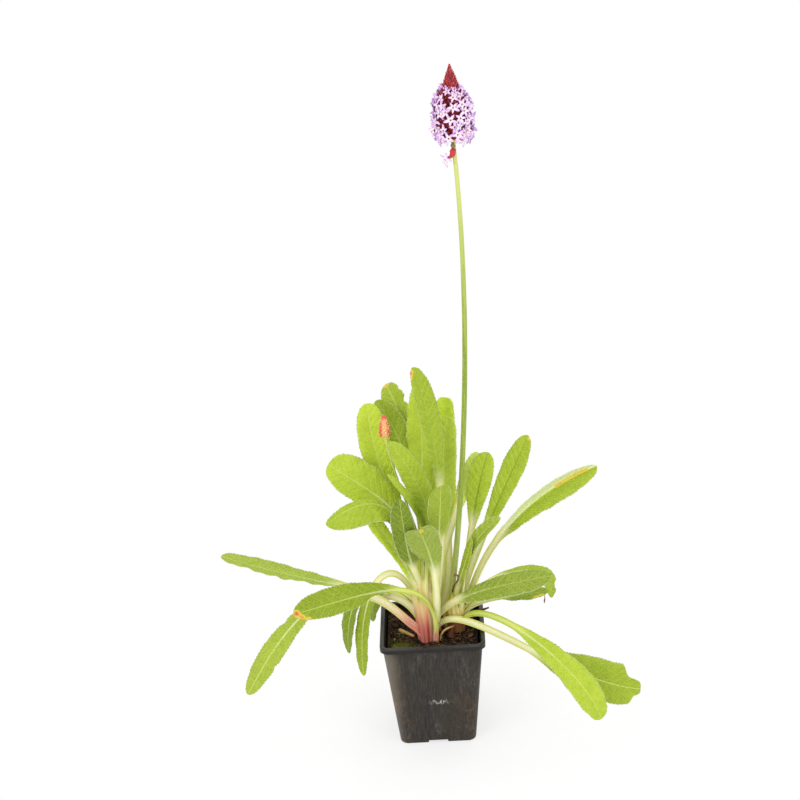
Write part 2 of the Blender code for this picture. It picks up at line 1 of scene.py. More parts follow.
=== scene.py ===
# %% [markdown]
# # Orchid primrose in a square nursery pot
#
# The plant is a rosette of soft, finely toothed leaves on long pale stalks, with one tall
# bare stem that ends in a spike: a cone of dark red calyces above a skirt of lilac stars.
# The solids that a physics engine needs are already packed as a fixed frame.  This notebook
# dresses them.  Each leaf, floret and crumb is a surface worked out with numpy arrays, and
# each finish is built from Blender's own shader nodes.

from collections import namedtuple
from itertools import combinations

import bpy
import numpy as np
from mathutils import Matrix, Vector


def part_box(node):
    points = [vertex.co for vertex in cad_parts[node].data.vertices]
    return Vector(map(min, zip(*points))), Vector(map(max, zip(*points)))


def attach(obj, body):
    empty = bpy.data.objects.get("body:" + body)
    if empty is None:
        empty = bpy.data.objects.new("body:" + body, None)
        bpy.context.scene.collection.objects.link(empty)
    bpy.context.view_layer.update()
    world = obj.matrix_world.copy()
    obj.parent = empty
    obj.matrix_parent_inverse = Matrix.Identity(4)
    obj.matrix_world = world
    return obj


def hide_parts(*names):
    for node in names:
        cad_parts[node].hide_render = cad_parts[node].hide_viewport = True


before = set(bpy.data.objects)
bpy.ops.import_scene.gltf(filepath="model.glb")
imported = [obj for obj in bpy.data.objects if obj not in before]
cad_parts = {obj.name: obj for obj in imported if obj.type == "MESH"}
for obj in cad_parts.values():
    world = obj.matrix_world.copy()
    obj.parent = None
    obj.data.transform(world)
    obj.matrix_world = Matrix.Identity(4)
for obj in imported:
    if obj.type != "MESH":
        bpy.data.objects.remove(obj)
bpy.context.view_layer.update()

# %% [markdown]
# ## Units and small helpers
#
# A plant is easiest to describe in millimetres, while Blender counts in metres, so every
# mesh is scaled once, when it is made.  A skin over rings is the one shape that all the
# pieces share: a grid of points whose columns run round a section and whose rows run along
# the piece.  bmesh could build it face by face, but index arrays make all the faces at once.

# %% Millimetres, soft steps and wavy lines
MM = 0.001


def ease(x):
    """Smooth step from 0 to 1: three x squared less two x cubed, x held between 0 and 1."""
    x = np.clip(x, 0.0, 1.0)
    return x * x * (3 - 2 * x)


def unit(vectors):
    """Vectors divided by their own lengths."""
    return vectors / np.linalg.norm(vectors, axis=-1, keepdims=True)


def wander(x, seed):
    """Slow irregular wave between about -1 and 1: the mean of three sines whose rates share
    no common factor and whose starts depend on the seed."""
    return (np.sin(x + 1.7 * seed) + np.sin(1.93 * x + 2.9 * seed)
            + np.sin(3.71 * x + 4.3 * seed)) / 3


def jumble(shape, seed):
    """Repeatable random numbers between -1 and 1."""
    return np.random.default_rng(seed).uniform(-1, 1, shape)


def chance(shape, seed):
    """The same, between 0 and 1."""
    return 0.5 + 0.5 * jumble(shape, seed)


print("wander from 0 to 6:", wander(np.arange(0, 7, 2.0), 1).round(2))

# %% [markdown]
# The faces of a grid follow from its size alone.  Two flat ends close it, and the sign of
# the volume tells whether the faces look outwards.

# %% Faces of a grid
def ring_faces(rows, around, closed=True):
    """Four-sided faces between neighbouring rings; the last column meets the first."""
    i = np.arange(rows - 1)[:, None] * around
    j = np.arange(around if closed else around - 1)[None, :]
    k = (j + 1) % around
    return np.stack([i + j, i + k, i + around + k, i + around + j], axis=-1).reshape(-1, 4)


def strip_cap(first, around):
    """Faces that close a flat two-sided ring: each pair of upper points joined to the pair
    of lower points under it."""
    j = np.arange(around // 2 - 1)
    return np.stack([first + j, first + j + 1, first + around - 2 - j, first + around - 1 - j], axis=-1)


def outward(points, faces):
    """Faces turned so that the volume they hold, a third of the sum of each face's middle
    dotted with its area vector, is positive."""
    a, b, c, d = (points[faces[:, n]] for n in range(4))
    area = np.cross(c - a, d - b)
    volume = ((a + b + c + d) * area).sum()
    return faces if volume > 0 else faces[:, ::-1]


print("a 3 by 4 ring skin has", len(ring_faces(3, 4)), "faces")

# %% [markdown]
# Every piece of the plant is made by one call.  It rides on the root of the frame, names
# the solids that it stands for, and says which of the plant's materials it belongs to.

# %% Pieces from arrays
def make_piece(name, points, faces, finish, nodes=(), data=None):
    """A mesh object from points in millimetres that rides on the plant.

    nodes are the CAD solids that it stands for, and data holds one array per named
    attribute, with one row for each point.
    """
    mesh = bpy.data.meshes.new(name)
    mesh.from_pydata(points * MM, [], faces.tolist() if isinstance(faces, np.ndarray) else faces)
    for key, values in (data or {}).items():
        layer = mesh.attributes.new(key, "FLOAT_VECTOR", "POINT")
        layer.data.foreach_set("vector", np.ascontiguousarray(values, np.float32).ravel())
    mesh.shade_smooth()
    mesh.materials.append(finish)
    piece = bpy.data.objects.new(name, mesh)
    bpy.context.scene.collection.objects.link(piece)
    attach(piece, "root")
    if nodes:
        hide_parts(*nodes)
    return piece


print("a millimetre in a piece is", MM, "m in Blender")

# %% [markdown]
# ## A short way to write materials
#
# Shader nodes can be wired by hand in the editor.  Here one helper adds a node, sets its
# plain values and links its inputs, so that each finish below reads as a recipe: a ground
# colour, then further colours laid over it, each through a mask.  Every pattern reads Object
# coordinates or an attribute of the piece, and every value that is the same all over a
# surface stays on the shader's own socket.


# %% Nodes in one line each
def new_finish(name, roughness, specular):
    """A material with one Principled shader; returns the material and its node tree."""
    finish = bpy.data.materials.new(name)
    finish.use_nodes = True
    shader = finish.node_tree.nodes["Principled BSDF"]
    shader.inputs["Roughness"].default_value = roughness
    shader.inputs["Specular IOR Level"].default_value = specular
    return finish, finish.node_tree


def add(tree, kind, *inputs, out=0, **settings):
    """Add a node; numbered inputs are values or other nodes' outputs, None leaves one."""
    node = tree.nodes.new("ShaderNode" + kind)
    for key, value in settings.items():
        setattr(node, key, value)
    for index, value in enumerate(inputs):
        if isinstance(value, bpy.types.NodeSocket):
            tree.links.new(value, node.inputs[index])
        elif value is not None:
            node.inputs[index].default_value = value
    return node.outputs[out]


print("for all finishes: new_finish and add")

# %% [markdown]
# Colours are given as on a screen and turned to linear light, and laid over each other in
# turn, the way a painter glazes.

# %% Colours in layers
def mix(tree, share, a, b):
    """Colour a turned towards colour b by a share."""
    node = tree.nodes.new("ShaderNodeMix")
    node.data_type = "RGBA"
    for key, value in (("Factor_Float", share), ("A_Color", a), ("B_Color", b)):
        socket = next(s for s in node.inputs if s.identifier == key)
        if isinstance(value, bpy.types.NodeSocket):
            tree.links.new(value, socket)
        else:
            socket.default_value = (*value, 1) if isinstance(value, tuple) else value
    return next(s for s in node.outputs if s.identifier == "Result_Color")


def layered(tree, colour, *layers):
    """A ground colour with others laid over it in turn; a layer is a mask and a colour."""
    for mask, over in layers:
        colour = mix(tree, mask, colour, over)
    return colour


def srgb(red, green, blue):
    """A screen colour, 0 to 255, as the linear light that shaders use."""
    c = np.array([red, green, blue]) / 255
    return tuple(np.where(c <= 0.04045, c / 12.92, ((c + 0.055) / 1.055) ** 2.4).tolist())


print("middle grey is", [round(c, 3) for c in srgb(128, 128, 128)], "in linear light")

# %% [markdown]
# Masks come from sums and products of plain values, and from soft steps between two limits.

# %% Sums and soft masks
def maths(tree, kind, *values):
    """A Math node of a kind, such as ABSOLUTE or MAXIMUM."""
    return add(tree, "Math", *values, operation=kind)


def times(tree, value, *others):
    """Product of all the values."""
    for other in others:
        value = maths(tree, "MULTIPLY", value, other)
    return value


def plus(tree, value, *others):
    """Sum of all the values."""
    for other in others:
        value = maths(tree, "ADD", value, other)
    return value


def bell(tree, *values):
    """e to the power of minus the sum of the squares: 1 in the middle, near 0 beyond 2."""
    squares = plus(tree, *(maths(tree, "POWER", value, 2.0) for value in values))
    return maths(tree, "POWER", 2.718, times(tree, squares, -1.0))


def between(tree, value, low, high, start=0.0, end=1.0):
    """A value that runs smoothly from start at low to end at high."""
    return add(tree, "MapRange", value, low, high, start, end, interpolation_type="SMOOTHSTEP")


print("for masks: maths, times, plus, bell and between")

# %% [markdown]
# The rest is what a mask reads, clouds, places and the numbers that a piece carries, and
# the last link of every finish, its colour and bumps.

# %% Clouds, places and bumps
def noise(tree, where, scale, detail=3.0, rough=0.55, stretch=(1, 1, 1)):
    """Cloudy pattern, about 0 to 1; stretch squeezes it along an axis."""
    spread = add(tree, "Mapping", where, None, None, stretch)
    return add(tree, "TexNoise", spread, None, scale, detail, rough)


def object_vector(tree):
    """Place on the object, in metres."""
    return add(tree, "TexCoord", out=3)


def carried(tree, name):
    """The vector that a piece carries for each point in a named attribute."""
    return add(tree, "Attribute", out=1, attribute_name=name)


def parts(tree, vector):
    """The three numbers of a vector."""
    return tuple(add(tree, "SeparateXYZ", vector).node.outputs)


def finish_with(tree, colour, height, strength, distance):
    """Link a colour, and a height in which distance is in millimetres, to the shader."""
    shader = tree.nodes["Principled BSDF"]
    tree.links.new(colour, shader.inputs["Base Color"])
    tree.links.new(add(tree, "Bump", strength, distance * MM, None, height), shader.inputs["Normal"])


print("for patterns and relief: noise, object_vector, carried, parts and finish_with")

# %% [markdown]
# ## Floor, light and camera
#
# A grower's catalogue shows such a plant on seamless white.  The floor is one large pale
# sheet; far from the pot it glows plain white for the camera only, so that it lights nothing
# and still keeps the soft shadow near the pot.  Two broad lamps in front and a pale world
# give the even, nearly shadowless light of a studio tent.

# %% Floor and white surround
FLOOR_HALF = 30.0
FADE_START, FADE_END = 0.04, 0.26      # metres from the pot where the shadow fades to white
NEAR_GLOW = 0.7                        # share of the glow that is there from the start
WORLD_LIGHT = 0.88


def seen_directly(tree):
    """1 for what the camera sees, straight or in gloss or through glass, and else 0."""
    path = add(tree, "LightPath").node
    camera, glossy, through = (path.outputs[f"Is {ray} Ray"]
                               for ray in ("Camera", "Glossy", "Transmission"))
    return maths(tree, "MAXIMUM", camera, maths(tree, "MAXIMUM", glossy, through))


floor_mesh = bpy.data.meshes.new("floor")
corners = np.array([(-1, -1, 0), (1, -1, 0), (1, 1, 0), (-1, 1, 0)]) * FLOOR_HALF
floor_mesh.from_pydata(corners.tolist(), [], [(0, 1, 2, 3)])
floor = bpy.data.objects.new("floor", floor_mesh)
bpy.context.scene.collection.objects.link(floor)

floor_finish, tree = new_finish("pale_floor", 0.9, 0.1)
sheet = tree.nodes["Principled BSDF"]
sheet.inputs["Base Color"].default_value = (0.93, 0.93, 0.93, 1)
away = add(tree, "VectorMath", object_vector(tree), out=1, operation="LENGTH")
glow = times(tree, between(tree, away, FADE_START, FADE_END, NEAR_GLOW, 1.0), seen_directly(tree))
lit = add(tree, "MixShader", glow, sheet.outputs[0], add(tree, "Emission"))
tree.links.new(lit, tree.nodes["Material Output"].inputs["Surface"])
floor_mesh.materials.append(floor_finish)

world = bpy.data.worlds.new("white_room")
bpy.context.scene.world = world
world.use_nodes = True
tree = world.node_tree
brightness = between(tree, seen_directly(tree), 0.0, 1.0, WORLD_LIGHT, 1.0)
tree.nodes["Background"].inputs["Color"].default_value = (1, 1, 1, 1)
tree.links.new(brightness, tree.nodes["Background"].inputs["Strength"])
bpy.context.scene.view_settings.view_transform = "Standard"
print("floor is", 2 * FLOOR_HALF, "m wide")

# %% [markdown]
# Area lamps give soft edges to the shadows; a sun lamp would draw each leaf on the floor.
# The camera looks slightly down, as one does at a plant on a bench.

# %% Lamps and camera
PLANT_MIDDLE = Vector((-0.015, 0.0, 0.3079))


def lamp(name, where, size, watts):
    """A square soft lamp that faces the middle of the plant."""
    light = bpy.data.lights.new(name, "AREA")
    light.size = size
    light.energy = watts
    body = bpy.data.objects.new(name, light)
    body.matrix_world = (PLANT_MIDDLE - Vector(where)).to_track_quat("-Z", "Y").to_matrix().to_4x4()
    body.location = where
    bpy.context.scene.collection.objects.link(body)


lamp("key_left", (-1.5, -1.9, 1.9), 1.2, 19)
lamp("fill_right", (1.7, -1.7, 1.2), 1.4, 13)
lamp("top_back", (0.2, 1.0, 2.2), 1.2, 11)

CAMERA_TURN, CAMERA_DIP, CAMERA_ROLL = np.radians((1.82, 21.04, -3.78))
CAMERA_DISTANCE = 1.6362
LENS_MM, SENSOR_MM = 88.86, 36.0

back = Vector((np.sin(CAMERA_TURN) * np.cos(CAMERA_DIP),
               -np.cos(CAMERA_TURN) * np.cos(CAMERA_DIP), np.sin(CAMERA_DIP)))
right = (-back).cross(Vector((0, 0, 1))).normalized()
turned_basis = Matrix((right, right.cross(-back), back)).transposed().to_4x4()
camera_data = bpy.data.cameras.new("camera")
camera_data.lens, camera_data.sensor_width = LENS_MM, SENSOR_MM
camera = bpy.data.objects.new("camera", camera_data)
camera.matrix_world = (Matrix.Translation(PLANT_MIDDLE + back * CAMERA_DISTANCE) @ turned_basis
                       @ Matrix.Rotation(float(CAMERA_ROLL), 4, "Z"))
bpy.context.scene.collection.objects.link(camera)
bpy.context.scene.camera = camera
print("camera stands at", [round(c, 3) for c in camera.matrix_world.translation])

# %% [markdown]
# ## The pot
#
# A nursery pot is a thin moulded shell: four drafted walls with round corners, a band round
# the rim, and feet left between two channels under the base.  It could be pushed out of a
# cube with insets and bevels, but a profile carried round a rounded square gives every round
# edge its true radius.  The channels and drain holes are then cut with Boolean modifiers,
# applied at once so that the piece keeps a plain mesh.

# %% A profile carried round a square with round corners
CORNER_STEPS = 9


def rounded_square(half, corner, height):
    """Rings of a square with round corners, one for each row of the profile.

    A point is its corner's centre, half less the corner radius along both diagonals, plus
    the radius times (cos a, sin a), where a turns a quarter circle at each corner.
    """
    half, corner, height = (np.asarray(v, float)[:, None] for v in (half, corner, height))
    quarter = np.linspace(0, np.pi / 2, CORNER_STEPS + 1)
    a = (quarter[None, :] + np.arange(4)[:, None] * np.pi / 2).ravel()
    diagonal = np.repeat(np.pi / 4 + np.arange(4) * np.pi / 2, CORNER_STEPS + 1)
    x = np.sign(np.cos(diagonal)) * (half - corner) + corner * np.cos(a)
    y = np.sign(np.sin(diagonal)) * (half - corner) + corner * np.sin(a)
    return np.stack([x, y, np.broadcast_to(height, x.shape)], axis=-1)


def skin(rings):
    """Points and faces of rings joined in order, with a flat face over each end."""
    rows, around = rings.shape[:2]
    faces = ring_faces(rows, around).tolist()
    faces += [list(range(around))[::-1], list(range((rows - 1) * around, rows * around))]
    return rings.reshape(-1, 3), faces


low_corner, high_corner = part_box("pot")
RIM_HALF, POT_TOP = high_corner[0] / MM, (high_corner[2] - low_corner[2]) / MM
BASE_HALF, WALL_TOP, RIM_BAND, LIP = 33.0, POT_TOP - 5.0, 2.6, 3.8
FLOOR_UP, WALL = 4.4, 1.3
pot_rows = [                                         # half width, corner radius, height
    (BASE_HALF - 2.2, 5.0, 0.0), (BASE_HALF - 1.2, 6.0, 0.35), (BASE_HALF - 0.4, 6.8, 1.2),
    (BASE_HALF, 7.0, 2.6), (RIM_HALF - RIM_BAND, 7.0, WALL_TOP - 0.3),
    (RIM_HALF - RIM_BAND + 0.4, 7.2, WALL_TOP - 0.05), (RIM_HALF - 0.5, 7.8, WALL_TOP),
    (RIM_HALF - 0.1, 8.0, WALL_TOP + 0.3), (RIM_HALF - 0.15, 8.0, POT_TOP - 1.9),
    (RIM_HALF, 8.0, POT_TOP - 1.5), (RIM_HALF, 8.0, POT_TOP - 1.0),
    (RIM_HALF - 0.3, 7.8, POT_TOP - 0.35), (RIM_HALF - 1.0, 7.2, POT_TOP),
    (RIM_HALF - LIP + 0.7, 5.0, POT_TOP), (RIM_HALF - LIP + 0.15, 4.5, POT_TOP - 0.3),
    (RIM_HALF - LIP, 4.2, POT_TOP - 0.9), (RIM_HALF - LIP - 0.1, 4.2, WALL_TOP),
    (BASE_HALF - WALL, 4.2, FLOOR_UP + 0.6), (BASE_HALF - WALL - 0.6, 3.6, FLOOR_UP)]
pot_points, pot_faces = skin(rounded_square(*zip(*pot_rows)))
print("pot profile has", len(pot_rows), "rows of", 4 * (CORNER_STEPS + 1), "points")

# %% [markdown]
# The plastic is black with recycled grit in it, so it looks charcoal.  Handling has left a
# film of dust in upright streaks, brown soil low on the corners and one pale scuff on the
# front.  All of it is layered noise on Object coordinates; an image could do it too, but it
# would not survive being scaled or turned.


# %% Dusty black plastic
SCUFF_X, SCUFF_Z = 0.0035, 0.0425            # middle of the scuff, metres
SCUFF_ALONG, SCUFF_ACROSS = 160.0, 1100.0    # how fast it fades along and across, per metre
FRONT_FACE = -0.03                           # the scuff is only where y is below this
SOIL_SPECK = (-0.0112, -0.038, 0.0847)

pot_finish, tree = new_finish("pot_plastic", 0.42, 0.3)
where = object_vector(tree)
x, y, z = parts(tree, where)
streaks = noise(tree, where, 760.0, 4.0, 0.7, (1, 1, 0.02))
cloud = noise(tree, where, 38.0, 5.0, 0.6, (1, 1, 0.7))
grit = noise(tree, where, 900.0, 2.0)
to_corner = between(tree, maths(tree, "ABSOLUTE", plus(tree, x, 0.004)), 0.006, 0.032)
blotches = between(tree, noise(tree, where, 210.0, 6.0, 0.8, (1, 1, 0.6)), 0.46, 0.72)
soiled = times(tree, to_corner, between(tree, z, 0.085, 0.025), blotches, 0.75)
dust = between(tree, noise(tree, where, 95.0, 6.0, 0.8, (1, 1, 0.4)), 0.52, 0.78)
specks = between(tree, noise(tree, where, 1500.0, 2.0, 0.6), 0.5, 0.68)
dusty = times(tree, dust, maths(tree, "MULTIPLY_ADD", specks, 0.5, 0.25))
left_wall = times(tree, between(tree, x, -0.024, -0.034), between(tree, z, 0.094, 0.085), 0.15)
on_edge = times(tree, between(tree, x, -0.028, -0.040), between(tree, y, -0.026, -0.034), 0.45)
scuff_wave = times(tree, plus(tree, noise(tree, where, 300.0, 4.0, 0.75), -0.5), 0.016)
scuff = bell(tree, times(tree, plus(tree, x, -SCUFF_X), SCUFF_ALONG),
             times(tree, plus(tree, z, -SCUFF_Z, scuff_wave), SCUFF_ACROSS))
scuff = times(tree, scuff, maths(tree, "LESS_THAN", y, FRONT_FACE),
              between(tree, noise(tree, where, 620.0, 3.0, 0.6), 0.4, 0.52))
to_speck = add(tree, "VectorMath", where, SOIL_SPECK, operation="DISTANCE", out=1)
rim_colour = mix(tree, cloud, srgb(18, 16, 14), srgb(34, 31, 27))
# painted highlight: a pale grey band, broken by the clouds, along the top edge of the rim
rim_top_highlight = times(tree, between(tree, z, 0.0975, 0.0992), between(tree, cloud, 0.3, 0.6), 0.3)
plastic = layered(
    tree, srgb(31, 28, 25),
    (between(tree, streaks, 0.36, 0.66), srgb(56, 51, 46)),
    (between(tree, cloud, 0.42, 0.68, 0, 0.6), srgb(50, 43, 32)),
    (soiled, srgb(106, 80, 54)),
    (dusty, srgb(136, 126, 112)),
    (left_wall, srgb(132, 120, 104)),
    (on_edge, srgb(140, 130, 112)),
    (scuff, srgb(206, 204, 200)),
    (between(tree, to_speck, 0.0014, 0.0006, 0, 0.9), srgb(176, 96, 52)),
    (between(tree, z, 0.0935, 0.0955), rim_colour),
    (rim_top_highlight, srgb(92, 92, 90)),
    (between(tree, grit, 0.62, 0.75, 0, 0.3), srgb(112, 104, 92)))
finish_with(tree, plastic, plus(tree, times(tree, streaks, 0.6), grit), 0.35, 0.15)
gloss = between(tree, cloud, 0.3, 0.7, 0.34, 0.55)
tree.links.new(gloss, tree.nodes["Principled BSDF"].inputs["Roughness"])
pot = make_piece("pot_shell", pot_points, pot_faces, pot_finish, ["pot"])
print("pot:", len(pot.data.polygons), "faces before it is cut")

# %% [markdown]
# Round pieces are rings of ellipses on the same skin.  A ring's widths, height and angles
# can each be one number or a grid of them, so one call makes all the rings of a piece.

# %% Rings of ellipses
def circle(count):
    """Angles spread evenly round a full turn."""
    return np.linspace(0, 2 * np.pi, count, endpoint=False)


def ellipses(centre, wide, deep, height, angle):
    """Points on ellipses: the centre plus (wide times cos a, deep times sin a, height)."""
    ring = np.broadcast_arrays(wide * np.cos(angle), deep * np.sin(angle), height)
    return np.asarray(centre, float) + np.stack(ring, axis=-1)


print("four points on an ellipse:", ellipses((0, 0, 0), 2, 1, 0, circle(4)).round(1).tolist())

# %% [markdown]
# A Boolean modifier needs an object to cut with.  Each cutter is a skin too, and carve
# applies all the cuts of a piece in one go.

# %% Cutters
def cutter(points, faces):
    """A plain closed mesh that only serves a Boolean."""
    mesh = bpy.data.meshes.new("cutter")
    mesh.from_pydata((points * MM).tolist(), [], faces)
    tool = bpy.data.objects.new("cutter", mesh)
    bpy.context.scene.collection.objects.link(tool)
    return tool


def carve(piece, tools):
    """Cut every tool out of the piece, keep the result as its plain mesh, drop the tools."""
    for tool in tools:
        step = piece.modifiers.new("cut", "BOOLEAN")
        step.operation = "DIFFERENCE"
        step.object = tool
    bpy.context.view_layer.update()
    whole = piece.evaluated_get(bpy.context.evaluated_depsgraph_get())
    cut_mesh = bpy.data.meshes.new_from_object(whole)
    piece.modifiers.clear()
    piece.data = cut_mesh
    for tool in tools:
        bpy.data.objects.remove(tool, do_unlink=True)


print("cuts will be taken out of", pot.name)

# %% [markdown]
# Two channels cross under the base and leave four feet, and a drain hole opens at the end
# of each.  The cutters go as soon as they have cut.

# %% Channels and drain holes
CHANNEL_HALF, FOOT_UP, DRAIN_RADIUS, DRAIN_OUT = 8.75, 3.0, 4.0, 17.0


def trough(along_x):
    """Channel with sloping sides, wider below, through the whole base."""
    u = np.array([-CHANNEL_HALF - 1, CHANNEL_HALF + 1, CHANNEL_HALF - 0.6, -CHANNEL_HALF + 0.6])
    v = np.array([-5.0, -5.0, FOOT_UP, FOOT_UP])
    run, u, v = np.broadcast_arrays(np.array([[-60.0], [60.0]]), u, v)
    return cutter(*skin(np.stack([run, u, v] if along_x else [-u, run, v], axis=-1)))


def drain(turn):
    """Upright cylinder under one side of the base."""
    centre = (DRAIN_OUT * np.cos(turn), DRAIN_OUT * np.sin(turn), 0)
    ends = np.array([[-4.0], [9.0]])
    return cutter(*skin(ellipses(centre, DRAIN_RADIUS, DRAIN_RADIUS, ends, circle(24))))


carve(pot, [trough(True), trough(False)] + [drain(turn) for turn in np.arange(4) * np.pi / 2])
pot.data.set_sharp_from_angle(angle=np.radians(50))
print("pot:", len(pot.data.polygons), "faces after it is cut")

# %% [markdown]
# ## The leaves
#
# Every leaf is a long stalk that opens into a blade.  The midrib is a Bezier curve with the
# same four points as the CAD leaf, so the two stay in step.  Modelling this by hand means a
# curve, a lattice and a lot of sculpting.  Here each row of points lies across the midrib:
# the half width, the slope of each side and the thickness are all functions of the distance
# along the leaf and the distance out from the rib.

# %% Where each leaf goes
Leaf = namedtuple("Leaf", "name shoot ring turn tip rise fall pull hold swerve width fold roll stalk")
F, R, B = (-3.0, -11.0), (18.5, 3.0), (-1.0, 13.0)      # front, right and back shoots
FOOT_RINGS = (2.4, 5.4, 8.6)                            # how far out on the shoot, mm
CROWN_TOP = 93.0
# name, shoot, ring and turn of the foot, tip in mm, rise and fall in degrees, pull and hold
# as shares of the span, swerve, width in mm, fold and roll in degrees, share that is stalk
LEAVES = (
    Leaf("leaf_tallest", F, 2, 73, (-3, -3, 337), 104, 73, 0.34, 0.3, 1, 22, 14, -65, 0.45),
    Leaf("leaf_behind_tallest", B, 1, -90, (3, 14, 319), 94, 86, 0.5, 0.45, 1, 24, 10, 0, 0.45),
    Leaf("leaf_torn_edge", B, 0, 50, (-29, 63, 298.5), 94, 1, 0.4, 0.3, -14, 20.5, 10, -35, 0.5),
    Leaf("leaf_upper_left_back", B, 1, -148, (-36.5, 31, 296.5), 94, 43, 0.35, 0.3, -3, 22, 10, -45, 0.5),
    Leaf("leaf_upper_left", F, 2, 92, (-43, 9, 303), 94, 89, 0.4, 0.4, 0, 25, 10, -55, 0.5),
    Leaf("leaf_left_broad", F, 2, 107, (-77.5, -18, 261), 83, 40, 0.7, 0.45, -4, 29, 10, -70, 0.5),
    Leaf("leaf_left_nodding", F, 2, 179, (-80, -63, 227), 94, -19, 0.4, 0.5, -7, 24, 12, -70, 0.45),
    Leaf("leaf_left_toothed", F, 1, -148, (-57, -36, 236), 94, 56, 0.3, 0.45, -8, 18, 15, -65, 0.4),
    Leaf("leaf_front_dark", F, 1, 136, (-19, -54, 242), 94, 83, 0.5, 0.65, -8, 19, 10, 5, 0.5),
    Leaf("leaf_front_rolled", F, 2, -113, (-28, -41, 259), 94, 55, 0.55, 0.5, -12, 12, 30, -80, 0.45),
    Leaf("leaf_front_left", F, 0, 174, (-25, -28, 282), 94, 57, 0.35, 0.55, -11, 22, 10, -90, 0.45),
    Leaf("leaf_front_centre", F, 1, 12, (15, -38, 245), 80, 80, 0.4, 0.4, 3, 25, 12, 10, 0.62),
    Leaf("leaf_front_low", F, 1, -61, (-5, -57, 216), 68, 62, 0.25, 0.6, -29, 28, 12, 12, 0.5),
    Leaf("leaf_left_level", F, 2, -37, (-112, -75, 153), 94, -4, 0.5, 0.45, -8, 25, 12, -50, 0.45),
    Leaf("leaf_far_left", B, 2, 123, (-181, 31, 159), 94, 18, 0.2, 0.7, -2, 22, 12, -6, 0.5),
    Leaf("leaf_left_hanging", F, 2, -131, (-159, -51, 67), 60, -58, 0.7, 0.6, 6, 21, 15, -60, 0.55),
    Leaf("leaf_arched_outer", B, 0, 137, (-75, 12, 68), 67, -91, 0.75, 1.05, -3, 16, 15, -30, 0.55),
    Leaf("leaf_arched_middle", B, 2, -145, (-63, 4, 49), 81, -92, 1.4, 1.3, 7, 14, 15, -50, 0.55),
    Leaf("leaf_arched_inner", F, 2, 135, (-53, 33, 87), 94, -100, 0.65, 0.7, -9, 15, 15, -80, 0.55),
    Leaf("leaf_square_tip", B, 2, 16, (22.5, 47, 290), 68, 78, 0.35, 0.4, 1, 18, 10, -5, 0.5),
    Leaf("leaf_centre_back", B, 1, -9, (23.5, 27, 280), 59, 78, 0.35, 0.5, 2, 21, 12, 30, 0.45),
    Leaf("leaf_right_back", B, 2, -50, (47, 41, 240.5), 90, 45, 0.43, 0.32, 22, 15, 12, 50, 0.62),
    Leaf("leaf_right_upright", R, 1, 60, (56, 22, 247.5), 74, 67, 0.4, 0.3, 0, 23, 14, 50, 0.5),
    Leaf("leaf_right_tall", R, 1, 0, (90, 10, 266), 84, 65, 0.3, 0.35, 0, 22, 12, 50, 0.5),
    Leaf("leaf_right_folded", R, 2, 16, (147, 12, 234), 76, 25, 0.4, 0.35, 3, 26, 18, 35, 0.45),
    Leaf("leaf_right_short", R, 2, -38, (63, -21, 206), 87, 40, 0.45, 0.4, 4, 13, 15, 60, 0.4),
    Leaf("leaf_right_small", R, 1, -60, (38, -14, 186), 94, 77, 0.45, 0.4, 0, 8, 15, 75, 0.4),
    Leaf("leaf_right_level", F, 2, 41, (104, -32, 155), 94, 11, 0.25, 0.55, 8, 22, 12, 40, 0.42),
    Leaf("leaf_right_level_back", R, 2, 44, (105, 16, 110), 93, -96, 0.48, 0.66, 1, 20, 12, 10, 0.42),
    Leaf("leaf_right_yellowed", R, 2, -11, (101, -10, 130), 94, 10, 0.36, 0.5, 6, 18, 12, 5, 0.6),
    Leaf("leaf_right_hanging", R, 2, -66, (138, -78, 42), 76, -76, 0.4, 0.3, 0, 27, 14, 20, 0.42),
    Leaf("leaf_right_torn", F, 2, 5, (175, -43, 49), 84, 0, 0.29, 0.38, -1, 33, 12, 50, 0.6),
    Leaf("leaf_rear_upright", B, 1, 62, (6, 71, 227), 84, 42, 0.4, 0.35, -1, 22, 10, -20, 0.45),
    Leaf("leaf_rear_leaning", R, 2, 134, (8, 85, 163), 94, 63, 0.3, 0.85, 11, 21, 10, -45, 0.45),
    Leaf("leaf_rear_drooping", B, 2, 37, (-10, 86, 26), 52, -73, 0.6, 0.45, 7, 22, 12, -20, 0.45),
    Leaf("leaf_rear_right_drooping", R, 2, 98, (27, 88, 14), 42, -51, 0.6, 0.6, 38, 22, 12, 45, 0.45),
    Leaf("leaf_rear_left_drooping", B, 2, 95, (-31, 77, 28), 48, -100, 0.55, 0.45, 2, 20, 12, -10, 0.45),
)
print(len(LEAVES), "leaves, widest", max(leaf.width for leaf in LEAVES), "mm")

# %% [markdown]
# A row of the table becomes a midrib.  The first handle of the curve sets how the stalk
# leaves the shoot, and the second how the tip hangs.

# %% The midrib
def bezier(points, s):
    """Places and unit directions on a cubic curve: the four points weighted by the terms of
    (1 - s + s) cubed, and the derivative of that."""
    p = np.array([np.broadcast_to(q, 3) for q in points], float)
    s = np.asarray(s, float)[:, None]
    r = 1 - s
    place = r ** 3 * p[0] + 3 * r * r * s * p[1] + 3 * r * s * s * p[2] + s ** 3 * p[3]
    along = r * r * (p[1] - p[0]) + 2 * r * s * (p[2] - p[1]) + s * s * (p[3] - p[2])
    return place, unit(along)


def heading(turn, rise):
    """Unit direction at a compass turn and an angle above level, both in degrees."""
    t, r = np.radians(turn), np.radians(rise)
    return np.array([np.cos(t) * np.cos(r), np.sin(t) * np.cos(r), np.sin(r)])


